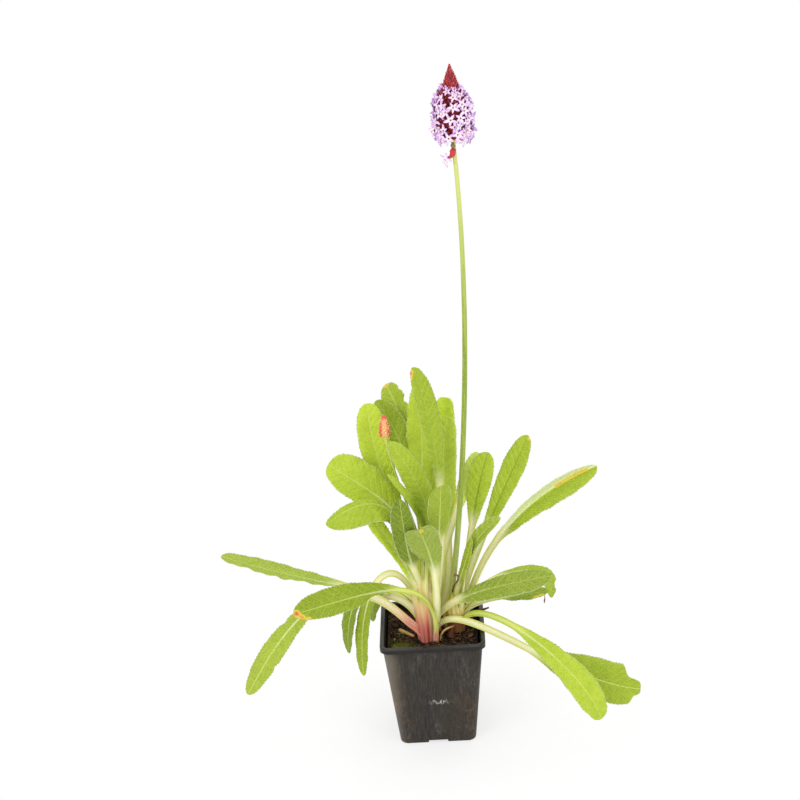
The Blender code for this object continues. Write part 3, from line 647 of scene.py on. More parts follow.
def leaf_midrib(leaf):
    """Foot, two handles and tip of a leaf: the first handle leaves the foot at the angle
    rise, and the second reaches the tip at the angle fall, turned sideways by the swerve."""
    ring = FOOT_RINGS[leaf.ring]
    foot = np.array([*leaf.shoot, CROWN_TOP]) + ring * heading(leaf.turn, 0)
    tip = np.array(leaf.tip, float)
    span = tip - foot
    reach = np.linalg.norm(span)
    turn = np.degrees(np.arctan2(span[1], span[0]))
    return (foot, foot + leaf.pull * reach * heading(turn, leaf.rise),
            tip - leaf.hold * reach * heading(turn + leaf.swerve, leaf.fall), tip)


print(LEAVES[0].name, "starts at", leaf_midrib(LEAVES[0])[0].round(1).tolist())

# %% [markdown]
# The looks that tell one leaf from the next sit in a table of their own: how pale the green
# is, how far the margins curl up or down, where the edge is torn, and where it has yellowed.

# %% How each leaf looks
# tone: how pale the green is; it also paints light, paler for leaves that lie in the shade of
# others and darkest on leaf_front_dark, whose upper side is in shade.  back: how pale the
# underside is.  Pairs go by the leaf's own left (+) and right (-) halves: curl is the slope
# added at the margin in degrees, wide stretches a half, pale whitens it with a painted sheen,
# and fold is its own fold.  ripple is in degrees, and blunt the power that closes the tip,
# smaller where it is blunter.  stalk is the stalk's half width in mm, sheath how much wider its
# foot is, and open where the blade starts, as a share of the midrib.  lean turns the blade and
# foot_roll the foot, and twist turns the tip, in degrees; lift raises the midrib's middle and
# foot moves its foot, in mm.  red is how far up the pink goes in mm, and leafy how green the
# stalk is.  rib is how far the midrib stands out in colour, below 0 where it lies in a groove
# painted dark as shade.  A bite is its side, share of the midrib, half length as a share, and
# depth; a spot is its share of the midrib, share of the half width, radius in mm, and strength.
PLAIN_LOOKS = dict(tone=0.6, back=0.3, curl=(-30, -30), ripple=14, blunt=0.52, stalk=3.1, sheath=1.1,
                   wide=(1.0, 1.0), open=None, lean=0, lift=0, red=13, fold=None, bites=(), spots=(),
                   rib=0.7, pale=(0, 0), leafy=0.25, foot=(0, 0), foot_roll=0, twist=0)
LEAF_LOOKS = {
    "leaf_tallest": dict(tone=0.52, wide=(0.7, 0.95), curl=(-50, -25), open=0.5, rib=0.1,
                         spots=((0.985, 0.7, 3.0, 0.8), (0.965, 0.95, 3.0, 0.75), (0.94, 1.0, 2.5, 0.5))),
    "leaf_behind_tallest": dict(tone=0.98, wide=(1.25, 1.1)),
    "leaf_torn_edge": dict(tone=0.5, bites=((-1, 0.76, 0.02, 0.16), (-1, 0.84, 0.015, 0.2),
                                             (-1, 0.91, 0.012, 0.14)), rib=0.5,
                           spots=((0.99, 0.3, 3, 0.4), (0.985, -0.4, 3, 0.45), (0.95, 0.9, 3, 0.4))),
    "leaf_upper_left_back": dict(tone=0.36, wide=(1.0, 1.05), rib=0.3),
    "leaf_upper_left": dict(tone=1.05, blunt=0.4, wide=(1.0, 1.12)),
    "leaf_left_broad": dict(tone=0.86, curl=(-20, -30), blunt=0.36, wide=(1.0, 1.3)),
    "leaf_left_nodding": dict(tone=0.58, curl=(-30, -60), wide=(1.5, 0.42), lean=20, lift=9, rib=0.4),
    "leaf_left_toothed": dict(tone=1.25, ripple=24, wide=(0.8, 0.75)),
    "leaf_front_dark": dict(tone=0.02, back=0.05, open=0.58, wide=(1.02, 1.15), blunt=0.45, rib=0.4),
    "leaf_front_rolled": dict(tone=0.85, curl=(60, 60), stalk=2.4, wide=(0.8, 0.8), rib=0.3),
    "leaf_front_left": dict(tone=0.7, rib=0.3),
    "leaf_front_centre": dict(tone=0.44, back=0.05, curl=(-20, -30), blunt=0.4, rib=0.6),
    "leaf_front_low": dict(tone=0.2, back=0.2, curl=(10, 10), open=0.68, wide=(0.9, 1.05), blunt=0.25,
                           foot=(4, 8), stalk=2.8, bites=((-1, 0.77, 0.08, 0.45),), rib=0.5,
                           spots=((0.985, 0.1, 2.2, 0.75),)),
    "leaf_left_level": dict(tone=0.3, curl=(-40, -20), wide=(0.84, 1.08), open=0.45, blunt=0.58,
                            foot=(1.5, -7.5), bites=((1, 0.57, 0.1, 0.65),), stalk=2.7, leafy=1.0,
                            rib=0.5, sheath=0.6,
                            spots=((0.985, 0.0, 3.0, 1.0), (0.965, 0.6, 2.6, 0.8), (0.94, 0.8, 2.6, 0.7),
                                   (0.91, 0.85, 2.2, 0.5))),
    "leaf_far_left": dict(tone=0.47, curl=(20, 20), open=0.61, wide=(1.3, 0.95), blunt=0.4, lift=-3,
                          ripple=20, rib=0.4, pale=(0.15, 0.15)),
    "leaf_left_hanging": dict(tone=0.54, stalk=4.0, sheath=0.1, ripple=24, red=42, wide=(0.95, 0.9),
                              leafy=0.0, foot_roll=-50, pale=(0.1, 0.1),
                              bites=((1, 0.87, 0.012, 0.12), (-1, 0.72, 0.015, 0.12))),
    "leaf_arched_outer": dict(tone=0.2, wide=(1.2, 1.2), leafy=0.3, stalk=2.2, sheath=0.2, foot_roll=-20),
    "leaf_arched_middle": dict(tone=0.5, ripple=20, leafy=0.1, stalk=3.2, sheath=0.2, foot_roll=-30),
    "leaf_arched_inner": dict(tone=0.5, ripple=20, back=0.1, leafy=0.1, stalk=3.6, sheath=0.1,
                              foot_roll=-50),
    "leaf_square_tip": dict(tone=1.25, blunt=0.2, wide=(1.15, 1.0), rib=0.1),
    "leaf_centre_back": dict(tone=1.25, blunt=0.3, wide=(0.85, 1.0), rib=0.5, pale=(0.15, 0.15)),
    "leaf_right_back": dict(tone=1.25, back=0.5, rib=0.4, pale=(0.45, 0.25),
                            spots=((0.62, 0.9, 3.0, 0.6), (0.68, 0.95, 3.0, 0.7), (0.74, 0.95, 2.5, 0.5))),
    "leaf_right_upright": dict(tone=0.74, open=0.54, wide=(1.0, 0.88), rib=-0.6),
    "leaf_right_tall": dict(tone=0.62, wide=(0.98, 0.9), rib=-0.5, spots=((0.99, -0.4, 2.5, 0.55),)),
    "leaf_right_folded": dict(tone=0.56, back=0.9, fold=(85, 10), curl=(0, -20), wide=(0.6, 1.2),
                              open=0.4, stalk=4.0, lift=6, blunt=0.62, rib=0.7, pale=(0.8, 0), leafy=0.1,
                              spots=tuple((0.79 + 0.02 * n, 0.04 + 0.01 * n, 2.1, 0.6) for n in range(9))),
    "leaf_right_short": dict(tone=0.52, fold=(35, 35), rib=0.6, pale=(0.15, 0.15)),
    "leaf_right_small": dict(tone=0.65, stalk=2.4),
    "leaf_right_level": dict(tone=0.2, wide=(0.95, 1.1), curl=(-60, -20), pale=(0.12, 0.12), leafy=0.1,
                             rib=0.3),
    "leaf_right_level_back": dict(tone=0.5, wide=(0.85, 0.75), bites=((1, 0.93, 0.025, 0.4),), twist=40,
                                  rib=0.3),
    "leaf_right_yellowed": dict(tone=0.34, open=0.62, wide=(1.0, 1.15), rib=0.3,
                                spots=((0.9, -1.0, 2.6, 0.5), (0.93, -0.95, 2.6, 0.55),
                                       (0.96, -0.8, 2.6, 0.5))),
    "leaf_right_hanging": dict(tone=0.78, stalk=3.1, leafy=1.0, rib=0.5),
    "leaf_right_torn": dict(tone=0.48, blunt=0.34, open=0.57, wide=(1.15, 1.0), leafy=0.1,
                            bites=((1, 0.965, 0.04, 0.5), (-1, 0.985, 0.02, 0.5))),
}
print("looks set apart for", len(LEAF_LOOKS), "leaves")

# %% [markdown]
# The surface of a leaf is worked out in steps.  First come its rows: the margin is finely
# toothed, so four rows go to each tooth, and they lie closer at the blunt tip.

# %% Rows along a leaf
TOOTH = 3.2                             # mm along the margin
STALK_STEPS = 26
BLADE_RISE, TIP_POWER, CLOSE_FROM = 1.3, 0.6, 0.8
TIP_GAPS = np.array([2.4, 1.9, 1.45, 1.05, 0.7, 0.42, 0.2, 0.06])   # last rows, mm from the tip
Rows = namedtuple("Rows", "s run y opens teeth blade half")


def blade_half_width(s, leaf, looks, opens, run):
    """Half width: a stalk that widens into a sheath at the foot, and a blade that grows as
    a power of the distance from the stalk and closes as a power of that to the tip."""
    t = np.clip((s - opens) / (1 - opens), 0, 1)
    widest = BLADE_RISE / (BLADE_RISE + TIP_POWER)
    power = np.where(t > widest, looks["blunt"], TIP_POWER)
    shape = (t / widest) ** BLADE_RISE * ((1 - t) / (1 - widest)) ** power
    closing = np.sqrt(1 - np.clip((s - CLOSE_FROM) / (1 - CLOSE_FROM), 0, 1) ** 2)
    stalk = looks["stalk"] * (1 + looks["sheath"] * np.exp(-run / 28))
    return stalk * closing + (leaf.width / 2 - looks["stalk"]) * shape


def leaf_rows(leaf, looks, points):
    """Rows of a leaf, even over the stalk and four to a tooth over the blade.

    s is the share of the midrib, run the distance from the foot, y the distance from the
    blade's start, blade how far it is blade rather than stalk, and half the half width.
    """
    opens = looks["open"] or leaf.stalk
    fine = np.linspace(0, 1, 500)
    place = bezier(points, fine)[0]
    fine_run = np.concatenate([[0], np.cumsum(np.linalg.norm(np.diff(place, axis=0), axis=1))])
    start, total = np.interp(opens, fine, fine_run), fine_run[-1]
    teeth = max(int((total - start - TIP_GAPS[0]) / TOOTH), 3)
    run = np.concatenate([np.linspace(0, start, STALK_STEPS, endpoint=False),
                          np.linspace(start, total - TIP_GAPS[0], 4 * teeth, endpoint=False),
                          total - TIP_GAPS])
    s = np.interp(run, fine_run, fine)
    half = blade_half_width(s, leaf, looks, opens, run)
    return Rows(s, run, run - start, opens, teeth, ease((s - opens) / 0.12), half)


first_rows = leaf_rows(LEAVES[0], PLAIN_LOOKS, leaf_midrib(LEAVES[0]))
print(LEAVES[0].name, "has", len(first_rows.s), "rows and", first_rows.teeth, "teeth a side")

# %% [markdown]
# Each row then needs a place and two axes.  The axes are turned round the midrib, because a
# stalk can leave the shoot edge on while its blade lies flat.

# %% Place and axes of each row
GATHER_REACH, FOOT_REACH = 17, 45       # mm along the stalk over which its foot's place fades


def leaf_frames(leaf, looks, points, rows):
    """Place of each row and its axes, sideways and up out of the leaf.

    The foot is drawn halfway to the middle of its shoot, and moved by the looks.  The axes
    turn from the foot's roll to the blade's, and by the twist near the tip.
    """
    place, along = bezier(points, rows.s)
    place = place + np.outer(looks["lift"] * np.sin(np.pi * rows.s), (0, 0, 1))
    gather = 0.5 * (np.array([*leaf.shoot, CROWN_TOP]) - points[0])
    for move, reach in ((gather, GATHER_REACH), (np.array([*looks["foot"], 0.0]), FOOT_REACH)):
        place = place + move * np.exp(-(rows.run / reach) ** 2)[:, None]
    span = points[3] - points[0]
    side = np.array([-span[1], span[0], 0.0]) / np.hypot(span[0], span[1])
    side = unit(side - (along @ side)[:, None] * along)
    face = np.cross(along, side)
    grown = ease(rows.s / leaf.stalk)
    roll = np.radians(leaf.roll + looks["lean"]) * grown + np.radians(looks["foot_roll"]) * (1 - grown)
    roll = (roll + np.radians(looks["twist"]) * ease((rows.s - 0.7) / 0.2))[:, None]
    cos, sin = np.cos(roll), np.sin(roll)
    return place, side * cos + face * sin, face * cos - side * sin


print("a stalk's foot is moved over its first", FOOT_REACH, "mm")

# %% [markdown]
# Across a row the blade folds up from the rib, curls at its margin and ripples.  It is
# quilted too: it puffs up between side veins that run out and forward from the rib.

# %% One half of a leaf
VEIN_GAP, VEIN_SLOPE = 7.0, 1.1         # mm between side veins, and how they slant forward
PUFF = 0.35
TOOTH_DEPTH = 0.75
TOOTH_SHAPE = np.array([0.0, 0.25, 0.6, 1.0])      # share of the depth at a tooth's four rows
SIDE_STEPS = 13
STALK_FOLD = 16                         # degrees that a stalk is folded more than its blade


def half_leaf(leaf, looks, rows, number, seed):
    """Grids for the left half (0) or the right one (1): distance from the rib, place
    sideways and up, slope, and share of the half width.

    The slope at a distance x is the fold, which builds up over the first 1.5 mm, plus the
    curl times the cube of x's share of the half width, plus a ripple; the cosines and sines
    of the slope are summed to a place.
    """
    sign = 1 - 2 * number
    w = np.linspace(0, 1, SIDE_STEPS + 1)
    w = w * (0.6 + 0.4 * w * w)
    row = np.arange(len(rows.s)) - STALK_STEPS
    toothed = rows.blade * ((row >= 0) & (row < 4 * rows.teeth))
    depths = TOOTH_DEPTH * (0.65 + 0.35 * jumble((2, rows.teeth + 1), seed))[number]
    reach = rows.half * (1 + (looks["wide"][number] - 1) * rows.blade)
    reach = reach + TOOTH_SHAPE[row % 4] * toothed * depths[np.clip(row // 4, 0, rows.teeth)]
    reach = reach * (1 + 0.03 * wander(rows.y / 11, seed + 3 * number))
    for bite_side, middle, length, depth in looks["bites"]:
        if bite_side == sign:
            reach = reach * (1 - depth * np.exp(-((rows.s - middle) / length) ** 4))
    x = reach[:, None] * w
    blade = rows.blade[:, None]
    stalk_fold = leaf.fold + STALK_FOLD
    blade_fold = looks["fold"][number] if looks["fold"] else leaf.fold
    slope = np.radians(stalk_fold + (blade_fold - stalk_fold) * blade) * (1 - np.exp(-x / 1.5))
    slope = slope + np.radians(looks["curl"][number]) * blade * w ** 3
    wave = wander(rows.y / 7.5, seed + 5 * number + 1)[:, None]
    slope = slope + np.radians(looks["ripple"]) * blade * w ** 2 * wave
    middle = (slope[:, 1:] + slope[:, :-1]) / 2
    steps = np.diff(x, axis=1)
    out, up = (np.hstack([np.zeros((len(x), 1)), np.cumsum(steps * turned(middle), axis=1)])
               for turned in (np.cos, np.sin))
    puff = np.sqrt(np.abs(np.sin(np.pi * (rows.y[:, None] - VEIN_SLOPE * x) / VEIN_GAP))) - 0.6
    up = up + PUFF * puff * np.clip(5 * w * (1.05 - w), 0, 1) * blade
    return sign * x, sign * out, up, sign * slope, np.broadcast_to(w, x.shape)


print("a half is", SIDE_STEPS, "faces wide; a side vein every", VEIN_GAP, "mm")

# %% [markdown]
# Both halves meet at the rib, and the same rows make an upper and a lower skin.  Under the
# leaf the rib stands proud; above, it lies in a shallow groove.  Beside its shape, each
# point carries what the finish needs to know about it.


# %% Both skins, and what each point carries
def leaf_values(looks, rows, x, w):
    """Attributes of a leaf: where a point lies, its tissue, its tint and its rib."""
    def both(upper, lower=None):
        upper = np.broadcast_to(upper, x.shape)
        lower = upper if lower is None else np.broadcast_to(lower, x.shape)
        return np.concatenate([upper, lower[:, ::-1]], axis=1)

    y = rows.y[:, None]
    spots = np.zeros(x.shape)
    for share, sideways, radius, strength in looks["spots"]:
        y0 = np.interp(share, rows.s, rows.y)
        x0 = sideways * np.interp(share, rows.s, rows.half)
        spots = spots + strength * np.exp(-((x - x0) ** 2 + (y - y0) ** 2) / radius ** 2)
    # on the upper skin, the pale halves put a painted sheen into this value
    under = both(np.where(x > 0, *looks["pale"]), looks["back"])
    red = np.exp(-(rows.run / looks["red"]) ** 2)[:, None]
    carries = {
        "leaf_map": (both(x), both(y), both(w)),
        "leaf_tissue": (both(1 - rows.blade[:, None]), under, both(red)),
        "leaf_tint": (both(looks["tone"]), both(np.clip(spots, 0, 1)), both(np.clip(y / y[-1], 0, 1))),
        "leaf_rib": (both(looks["rib"]), both(looks["leafy"]), both(0))}
    return {key: np.stack(three, axis=-1).reshape(-1, 3) for key, three in carries.items()}


def leaf_surface(leaf, looks, seed):
    """Points, faces and attributes of one leaf: two skins, each off the middle by half the
    tissue's thickness, less the groove above and plus the rib below."""
    points = leaf_midrib(leaf)
    rows = leaf_rows(leaf, looks, points)
    place, side, face = leaf_frames(leaf, looks, points, rows)
    halves = [half_leaf(leaf, looks, rows, number, seed) for number in (0, 1)]
    x, out, up, slope, w = (np.hstack([left[:, :0:-1], right]) for left, right in zip(*halves))
    s, blade = rows.s[:, None], rows.blade[:, None]
    tissue = (0.55 - 0.3 * blade) * (1 - 0.6 * w ** 4) * (1 - 0.4 * s)
    rib = (1.5 - 0.9 * blade - 0.45 * s) * np.exp(-(x / (1.7 - 0.9 * blade)) ** 2)
    groove = (0.1 + 0.25 * blade * (1 - s)) * np.exp(-(x / 0.8) ** 2)
    skins = []
    for lift in (tissue - groove, -tissue - rib):
        a, b = out - lift * np.sin(slope), up + lift * np.cos(slope)
        skins.append(place[:, None] + side[:, None] * a[..., None] + face[:, None] * b[..., None])
    grid = np.concatenate([skins[0], skins[1][:, ::-1]], axis=1)
    count, around = grid.shape[:2]
    faces = np.vstack([ring_faces(count, around), strip_cap(0, around)[:, ::-1],
                       strip_cap((count - 1) * around, around)])
    flat = grid.reshape(-1, 3)
    return flat, outward(flat, faces), leaf_values(looks, rows, x, w)


print(LEAVES[0].name, "has", len(leaf_surface(LEAVES[0], PLAIN_LOOKS, 1)[1]), "faces")

# %% [markdown]
# ## The leaf's finish
#
# The green is soft and even, clouded twice and broken by side veins and a finer net, which
# is a Voronoi pattern on the leaf's own millimetres.  The underside is paler and greyer.

# %% Green of the blade
leaf_finish, tree = new_finish("leaf", 0.55, 0.2)
leaf_map = carried(tree, "leaf_map")
x, y, w = parts(tree, leaf_map)
stalk, under, foot = parts(tree, carried(tree, "leaf_tissue"))
tone, spots, share = parts(tree, carried(tree, "leaf_tint"))
rib_tone, leafy, _ = parts(tree, carried(tree, "leaf_rib"))
where = object_vector(tree)
cloud = noise(tree, where, 70.0, 4.0, 0.6)
mottle = noise(tree, where, 190.0, 3.0, 0.6)
fine = noise(tree, where, 420.0, 4.0, 0.6)
x_out = maths(tree, "ABSOLUTE", x)
vein_run = plus(tree, y, times(tree, x_out, -VEIN_SLOPE), times(tree, cloud, 2.0))
to_vein = maths(tree, "PINGPONG", vein_run, VEIN_GAP / 2)
vein = between(tree, to_vein, 0.75, 0.15)
net = add(tree, "TexVoronoi", add(tree, "Mapping", leaf_map, None, None, (1, 0.8, 0)), None, 0.5,
          None, None, None, None, None, 0.9, feature="DISTANCE_TO_EDGE")
net_line = between(tree, net, 0.16, 0.02)
# painted light: tones above 1 give the paler greens of leaves that lie in the shade of others
tone = times(tree, tone, 0.8)           # so that a tone can go up to 1.25
green = layered(
    tree, mix(tree, tone, srgb(98, 122, 8), srgb(210, 231, 73)),
    (between(tree, cloud, 0.35, 0.65, 0, 0.4), mix(tree, tone, srgb(86, 114, 6), srgb(184, 214, 49))),
    (between(tree, mottle, 0.4, 0.65, 0, 0.4), mix(tree, tone, srgb(90, 118, 6), srgb(183, 211, 51))),
    (times(tree, vein, 0.22), srgb(208, 222, 100)),
    (times(tree, net_line, 0.12), srgb(206, 220, 96)),
    (between(tree, fine, 0.5, 0.75, 0, 0.2), srgb(192, 208, 80)))
# the underside's paler colour also paints a sheen on the upper halves that the looks make pale
underside = layered(
    tree, srgb(190, 204, 112),
    (maths(tree, "MAXIMUM", net_line, vein), srgb(216, 224, 146)),
    (between(tree, under, 0.55, 0.9), srgb(232, 238, 192)))
green = mix(tree, under, green, underside)
print("green of the blade:", len(tree.nodes), "nodes")

# %% [markdown]
# The rib narrows towards the tip and turns from cream to green; on a few leaves it lies in a
# groove that is painted dark green as shade.  Spots yellow from their edge inwards, to orange and at last
# to brown.

# %% Rib, margin and spots
rib = between(tree, maths(tree, "DIVIDE", x_out, maths(tree, "MULTIPLY_ADD", share, -1.2, 1.5)), 1.0, 0.45)
rib_colour = mix(tree, between(tree, share, 0.0, 0.6), srgb(240, 240, 196), srgb(212, 222, 120))
proud = times(tree, rib, maths(tree, "MAXIMUM", rib_tone, 0.0))
# painted shade: a dark green line in the groove of the rib, on leaves whose rib is below 0
groove_shade = times(tree, rib, maths(tree, "MAXIMUM", times(tree, rib_tone, -1.0), 0.0))
spot_edge = plus(tree, spots, times(tree, plus(tree, cloud, -0.5), 0.6))
green = layered(
    tree, green,
    (proud, rib_colour),
    (groove_shade, srgb(112, 142, 14)),
    # the pale line along the margin is partly the leaf's pale curled edge and partly a painted highlight on
    # the edge
    (between(tree, w, 0.93, 0.98, 0, 0.65), srgb(210, 216, 166)),
    (between(tree, spot_edge, 0.2, 0.5), srgb(222, 200, 76)),
    (between(tree, spot_edge, 0.5, 0.75), srgb(222, 150, 70)),
    (between(tree, spot_edge, 0.85, 1.05, 0, 0.8), srgb(140, 84, 44)))
print("with rib and spots:", len(tree.nodes), "nodes")

# %% [markdown]
# The stalk is creamy along its middle with green wings at its edges, streaked lengthways,
# and pink at the foot with a few dark freckles.  Bumps follow the net, the veins and the
# mottling on the blade, and only a fine grain on the stalk.

# %% Stalk, foot and relief
wing = between(tree, w, 0.35, 0.8)
streak = noise(tree, leaf_map, 1.0, 3.0, 0.6, (1.6, 0.06, 0))
leafy_stalk = mix(tree, wing, srgb(212, 220, 122), srgb(182, 198, 72))
pink = mix(tree, between(tree, streak, 0.42, 0.62), srgb(232, 172, 150), srgb(204, 112, 98))
freckle = between(tree, add(tree, "TexVoronoi", where, None, 900.0), 0.3, 0.15)
stalk_colour = layered(
    tree, mix(tree, wing, srgb(246, 240, 204), srgb(220, 222, 136)),
    (leafy, leafy_stalk),
    (between(tree, streak, 0.5, 0.7, 0, 0.45), srgb(222, 218, 120)),
    (between(tree, foot, 0.1, 0.95), pink),
    (times(tree, freckle, between(tree, foot, 0.02, 0.3, 0, 0.7)), srgb(128, 66, 44)))
relief = plus(tree, times(tree, between(tree, net, 0.0, 0.4), 0.6),
              times(tree, between(tree, to_vein, 0.0, 1.4), 0.5), times(tree, mottle, 1.6))
relief = times(tree, relief, maths(tree, "SUBTRACT", 1.0, stalk))
relief = plus(tree, relief, times(tree, fine, 0.12))
finish_with(tree, mix(tree, stalk, green, stalk_colour), relief, 0.8, 0.6)
print("leaf finish:", len(tree.nodes), "nodes")

# %% [markdown]
# Now every row of both tables becomes a mesh.  The number of the leaf is the seed of its
# ripples and teeth, so a leaf keeps its shape when another one is changed.

# %% Grow the leaves
for seed, leaf in enumerate(LEAVES, start=1):
    looks = {**PLAIN_LOOKS, **LEAF_LOOKS.get(leaf.name, {})}
    leaf_points, faces, data = leaf_surface(leaf, looks, seed)
    make_piece(leaf.name + "_blade", leaf_points, faces, leaf_finish, [leaf.name], data)
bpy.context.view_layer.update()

# %% [markdown]
# ## Compost and what lies on it
#
# Potting compost is peat, bark and fibre.  The body is one closed grid with an uneven top.
# Scattering a few modelled lumps with geometry nodes would work as well; here one lump is
# repeated by arrays, so all the crumbs make a single mesh.

# %% Top of the compost
SOIL_LEVEL, SOIL_HALF, SOIL_CORNER, SOIL_STEPS = 92.5, 38.9, 5.0, 90
SHOOTS = np.array([F, R, B])


def soil_height(x, y):
    """Rise of the compost above its level: slow waves, a mound round each shoot and finer
    lumps, in mm."""
    waves = 0.9 * wander(x / 7 + 0.3 * y / 5, 3) + 0.9 * wander(y / 6 - 0.2 * x / 5, 8)
    lumps = 0.55 * wander(x / 1.7 + 2 * np.sin(y / 3), 5) + 0.55 * wander(y / 1.5 + 2 * np.sin(x / 2.6), 2)
    from_shoot = np.min([np.hypot(x - a, y - b) for a, b in SHOOTS], axis=0)
    return waves + lumps + 1.2 * np.exp(-(from_shoot / 11) ** 2) - 1.1


def soil_top():
    """Grid over a square with round corners: what lies past both straight sides is drawn
    in to the corner's arc, and the lumps grow calmer towards the pot's wall."""
    line = SOIL_HALF * np.linspace(-1, 1, SOIL_STEPS)
    x, y = np.meshgrid(line, line, indexing="ij")
    core = SOIL_HALF - SOIL_CORNER
    past = np.stack([np.maximum(np.abs(x) - core, 0), np.maximum(np.abs(y) - core, 0)])
    over = np.maximum(np.hypot(*past) / SOIL_CORNER, 1.0)
    x = np.sign(x) * (np.minimum(np.abs(x), core) + past[0] / over)
    y = np.sign(y) * (np.minimum(np.abs(y), core) + past[1] / over)
    calm = np.clip((SOIL_HALF - np.maximum(np.abs(x), np.abs(y))) / 3, 0, 1)
    return np.stack([x, y, SOIL_LEVEL + soil_height(x, y) * (0.4 + 0.6 * calm)], axis=-1)


top = soil_top()
print("top of the compost from", top[..., 2].min().round(1), "to", top[..., 2].max().round(1), "mm")

# %% [markdown]
# Below its top the compost follows the pot's wall down to the floor.

# %% Compost bed
def soil_body(top):
    """Points and faces of the top, a ring under its edge, a narrower ring on the pot's
    floor, and a flat face over that."""
    n = SOIL_STEPS
    points = top.reshape(-1, 3)
    index = np.arange(n * n).reshape(n, n)
    border = np.concatenate([index[:-1, 0], index[-1, :-1], index[:0:-1, -1], index[0, :0:-1]])
    under_rim = points[border] * np.array([1, 1, 0]) + np.array([0, 0, SOIL_LEVEL - 4])
    low_ring = points[border] * ((BASE_HALF - WALL - 0.6) / SOIL_HALF)
    low_ring[:, 2] = FLOOR_UP + 0.4
    upper = n * n + np.arange(len(border))
    lower = upper + len(border)
    faces = ring_faces(n, n, closed=False).tolist()
    for high, low in ((border, upper), (upper, lower)):
        faces += np.stack([np.roll(high, -1), np.roll(low, -1), low, high], axis=-1).tolist()
    return np.vstack([points, under_rim, low_ring]), faces + [lower.tolist()]


soil_points, soil_faces = soil_body(top)
print("compost:", len(soil_faces), "faces")

# %% [markdown]
# The peat is dark where it is damp, and darker still on the right, in the shade of the
# leaves, with paler clods and fibres on top.

# %% Damp peat
soil_finish, tree = new_finish("compost", 0.92, 0.25)
where = object_vector(tree)
clods = noise(tree, where, 260.0, 6.0, 0.7)
fibre = noise(tree, where, 900.0, 4.0, 0.7, (1, 0.3, 1))
to_right = parts(tree, where)[0]
earth = layered(
    tree, mix(tree, between(tree, clods, 0.35, 0.62), srgb(22, 15, 10), srgb(74, 52, 34)),
    (between(tree, fibre, 0.56, 0.72, 0, 0.7), srgb(128, 92, 58)),
    (between(tree, noise(tree, where, 60.0), 0.5, 0.7, 0, 0.5), srgb(40, 32, 20)),
    (between(tree, to_right, 0.0, 0.03, 0, 0.75), srgb(14, 10, 7)))
finish_with(tree, earth, plus(tree, clods, fibre), 0.9, 1.2)
make_piece("compost_bed", soil_points, soil_faces, soil_finish, ["compost"])
print("peat finish:", len(tree.nodes), "nodes")

# %% [markdown]
# Crumbs, flakes and tufts are the same few faces many times over, each copy turned and
# stretched by its own three by three matrix.  Instances would keep the file smaller, but
# one real mesh exports as it is.

# %% Copies scattered over the compost
CLEAR_OF_SHOOT = 7.5                    # mm


def scatter(base, faces, places, shapes):
    """Copies of a small mesh: every base point times a copy's matrix, plus its place."""
    points = np.einsum("cij,pj->cpi", shapes, base) + places[:, None]
    shift = np.arange(len(places))[:, None, None] * len(base)
    return points.reshape(-1, 3), (faces[None] + shift).reshape(-1, faces.shape[1])


def turns(count, seed, flat=0.0):
    """Random turning matrices: three vectors made square to each other; flat keeps the
    third near the vertical."""
    a, b = jumble((count, 3), seed), jumble((count, 3), seed + 50)
    c = unit(a * (1 - flat) + np.array([0, 0, flat]))
    u = unit(np.cross(c, b))
    return np.stack([u, np.cross(c, u), c], axis=-1)


def on_soil(count, seed, half, lift):
    """Random places on the compost, clear of the shoots."""
    spots = half * jumble((4 * count, 2), seed)
    from_shoot = np.min([np.hypot(*(spots - shoot).T) for shoot in SHOOTS], axis=0)
    spots = spots[from_shoot > CLEAR_OF_SHOOT][:count]
    return np.column_stack([spots, SOIL_LEVEL + soil_height(*spots.T) + lift])


print("three places on the compost:", on_soil(3, 21, 37.6, 0.1).round(1).tolist())

# %% [markdown]
# Litter is never one colour.  Each copy carries one random shade, and a speckled finish
# turns it into a colour between dark, middle and pale, with a grain in the dark one.


# %% Speckled finish
def speckle_finish(name, colours, rough=0.9, scale=300.0, bump=0.6):
    """Rough finish with three colours; a piece's own shade attribute picks between them."""
    finish, tree = new_finish(name, rough, 0.25)
    dark, middle, pale = (srgb(*colour) for colour in colours)
    shade = parts(tree, carried(tree, "shade"))[0]
    grain = noise(tree, object_vector(tree), scale, 4.0, 0.65)
    colour = layered(
        tree, mix(tree, between(tree, shade, 0.0, 0.55), dark, middle),
        (between(tree, shade, 0.6, 1.0), pale),
        (between(tree, grain, 0.35, 0.7, 0, 0.5), dark))
    finish_with(tree, colour, grain, bump, 0.5)
    return finish


def thrice(values):
    """One number for each point, as the three numbers of an attribute."""
    return np.tile(np.reshape(values, (-1, 1)), 3)


def shades(count, each, seed):
    """One random shade for each copy, given to all its points."""
    return {"shade": thrice(np.repeat(chance(count, seed), each))}


print("shades of two copies of three points:", shades(2, 3, 25)["shade"][:, 0].round(2))

# %% [markdown]
# A crumb is a ball of twelve points, the corners of three golden rectangles that stand
# square to each other.  A face joins every three corners that are neighbours.

# %% Crumbs
GOLDEN = (1 + 5 ** 0.5) / 2
CORNER_GAP = 1.1                        # neighbours on the unit ball lie nearer than this
rectangle = np.array([(0, a, b * GOLDEN) for a in (-1, 1) for b in (-1, 1)])
BALL = unit(np.vstack([rectangle, np.roll(rectangle, -1, axis=1), np.roll(rectangle, 1, axis=1)]))
near = np.linalg.norm(BALL[:, None] - BALL[None], axis=-1) < CORNER_GAP
BALL_FACES = np.array([three for three in combinations(range(len(BALL)), 3)
                       if near[np.ix_(three, three)].all()])
a, b, c = (BALL[BALL_FACES[:, n]] for n in range(3))
inward = (np.cross(b - a, c - a) * a).sum(1) < 0
BALL_FACES[inward] = BALL_FACES[inward][:, ::-1]

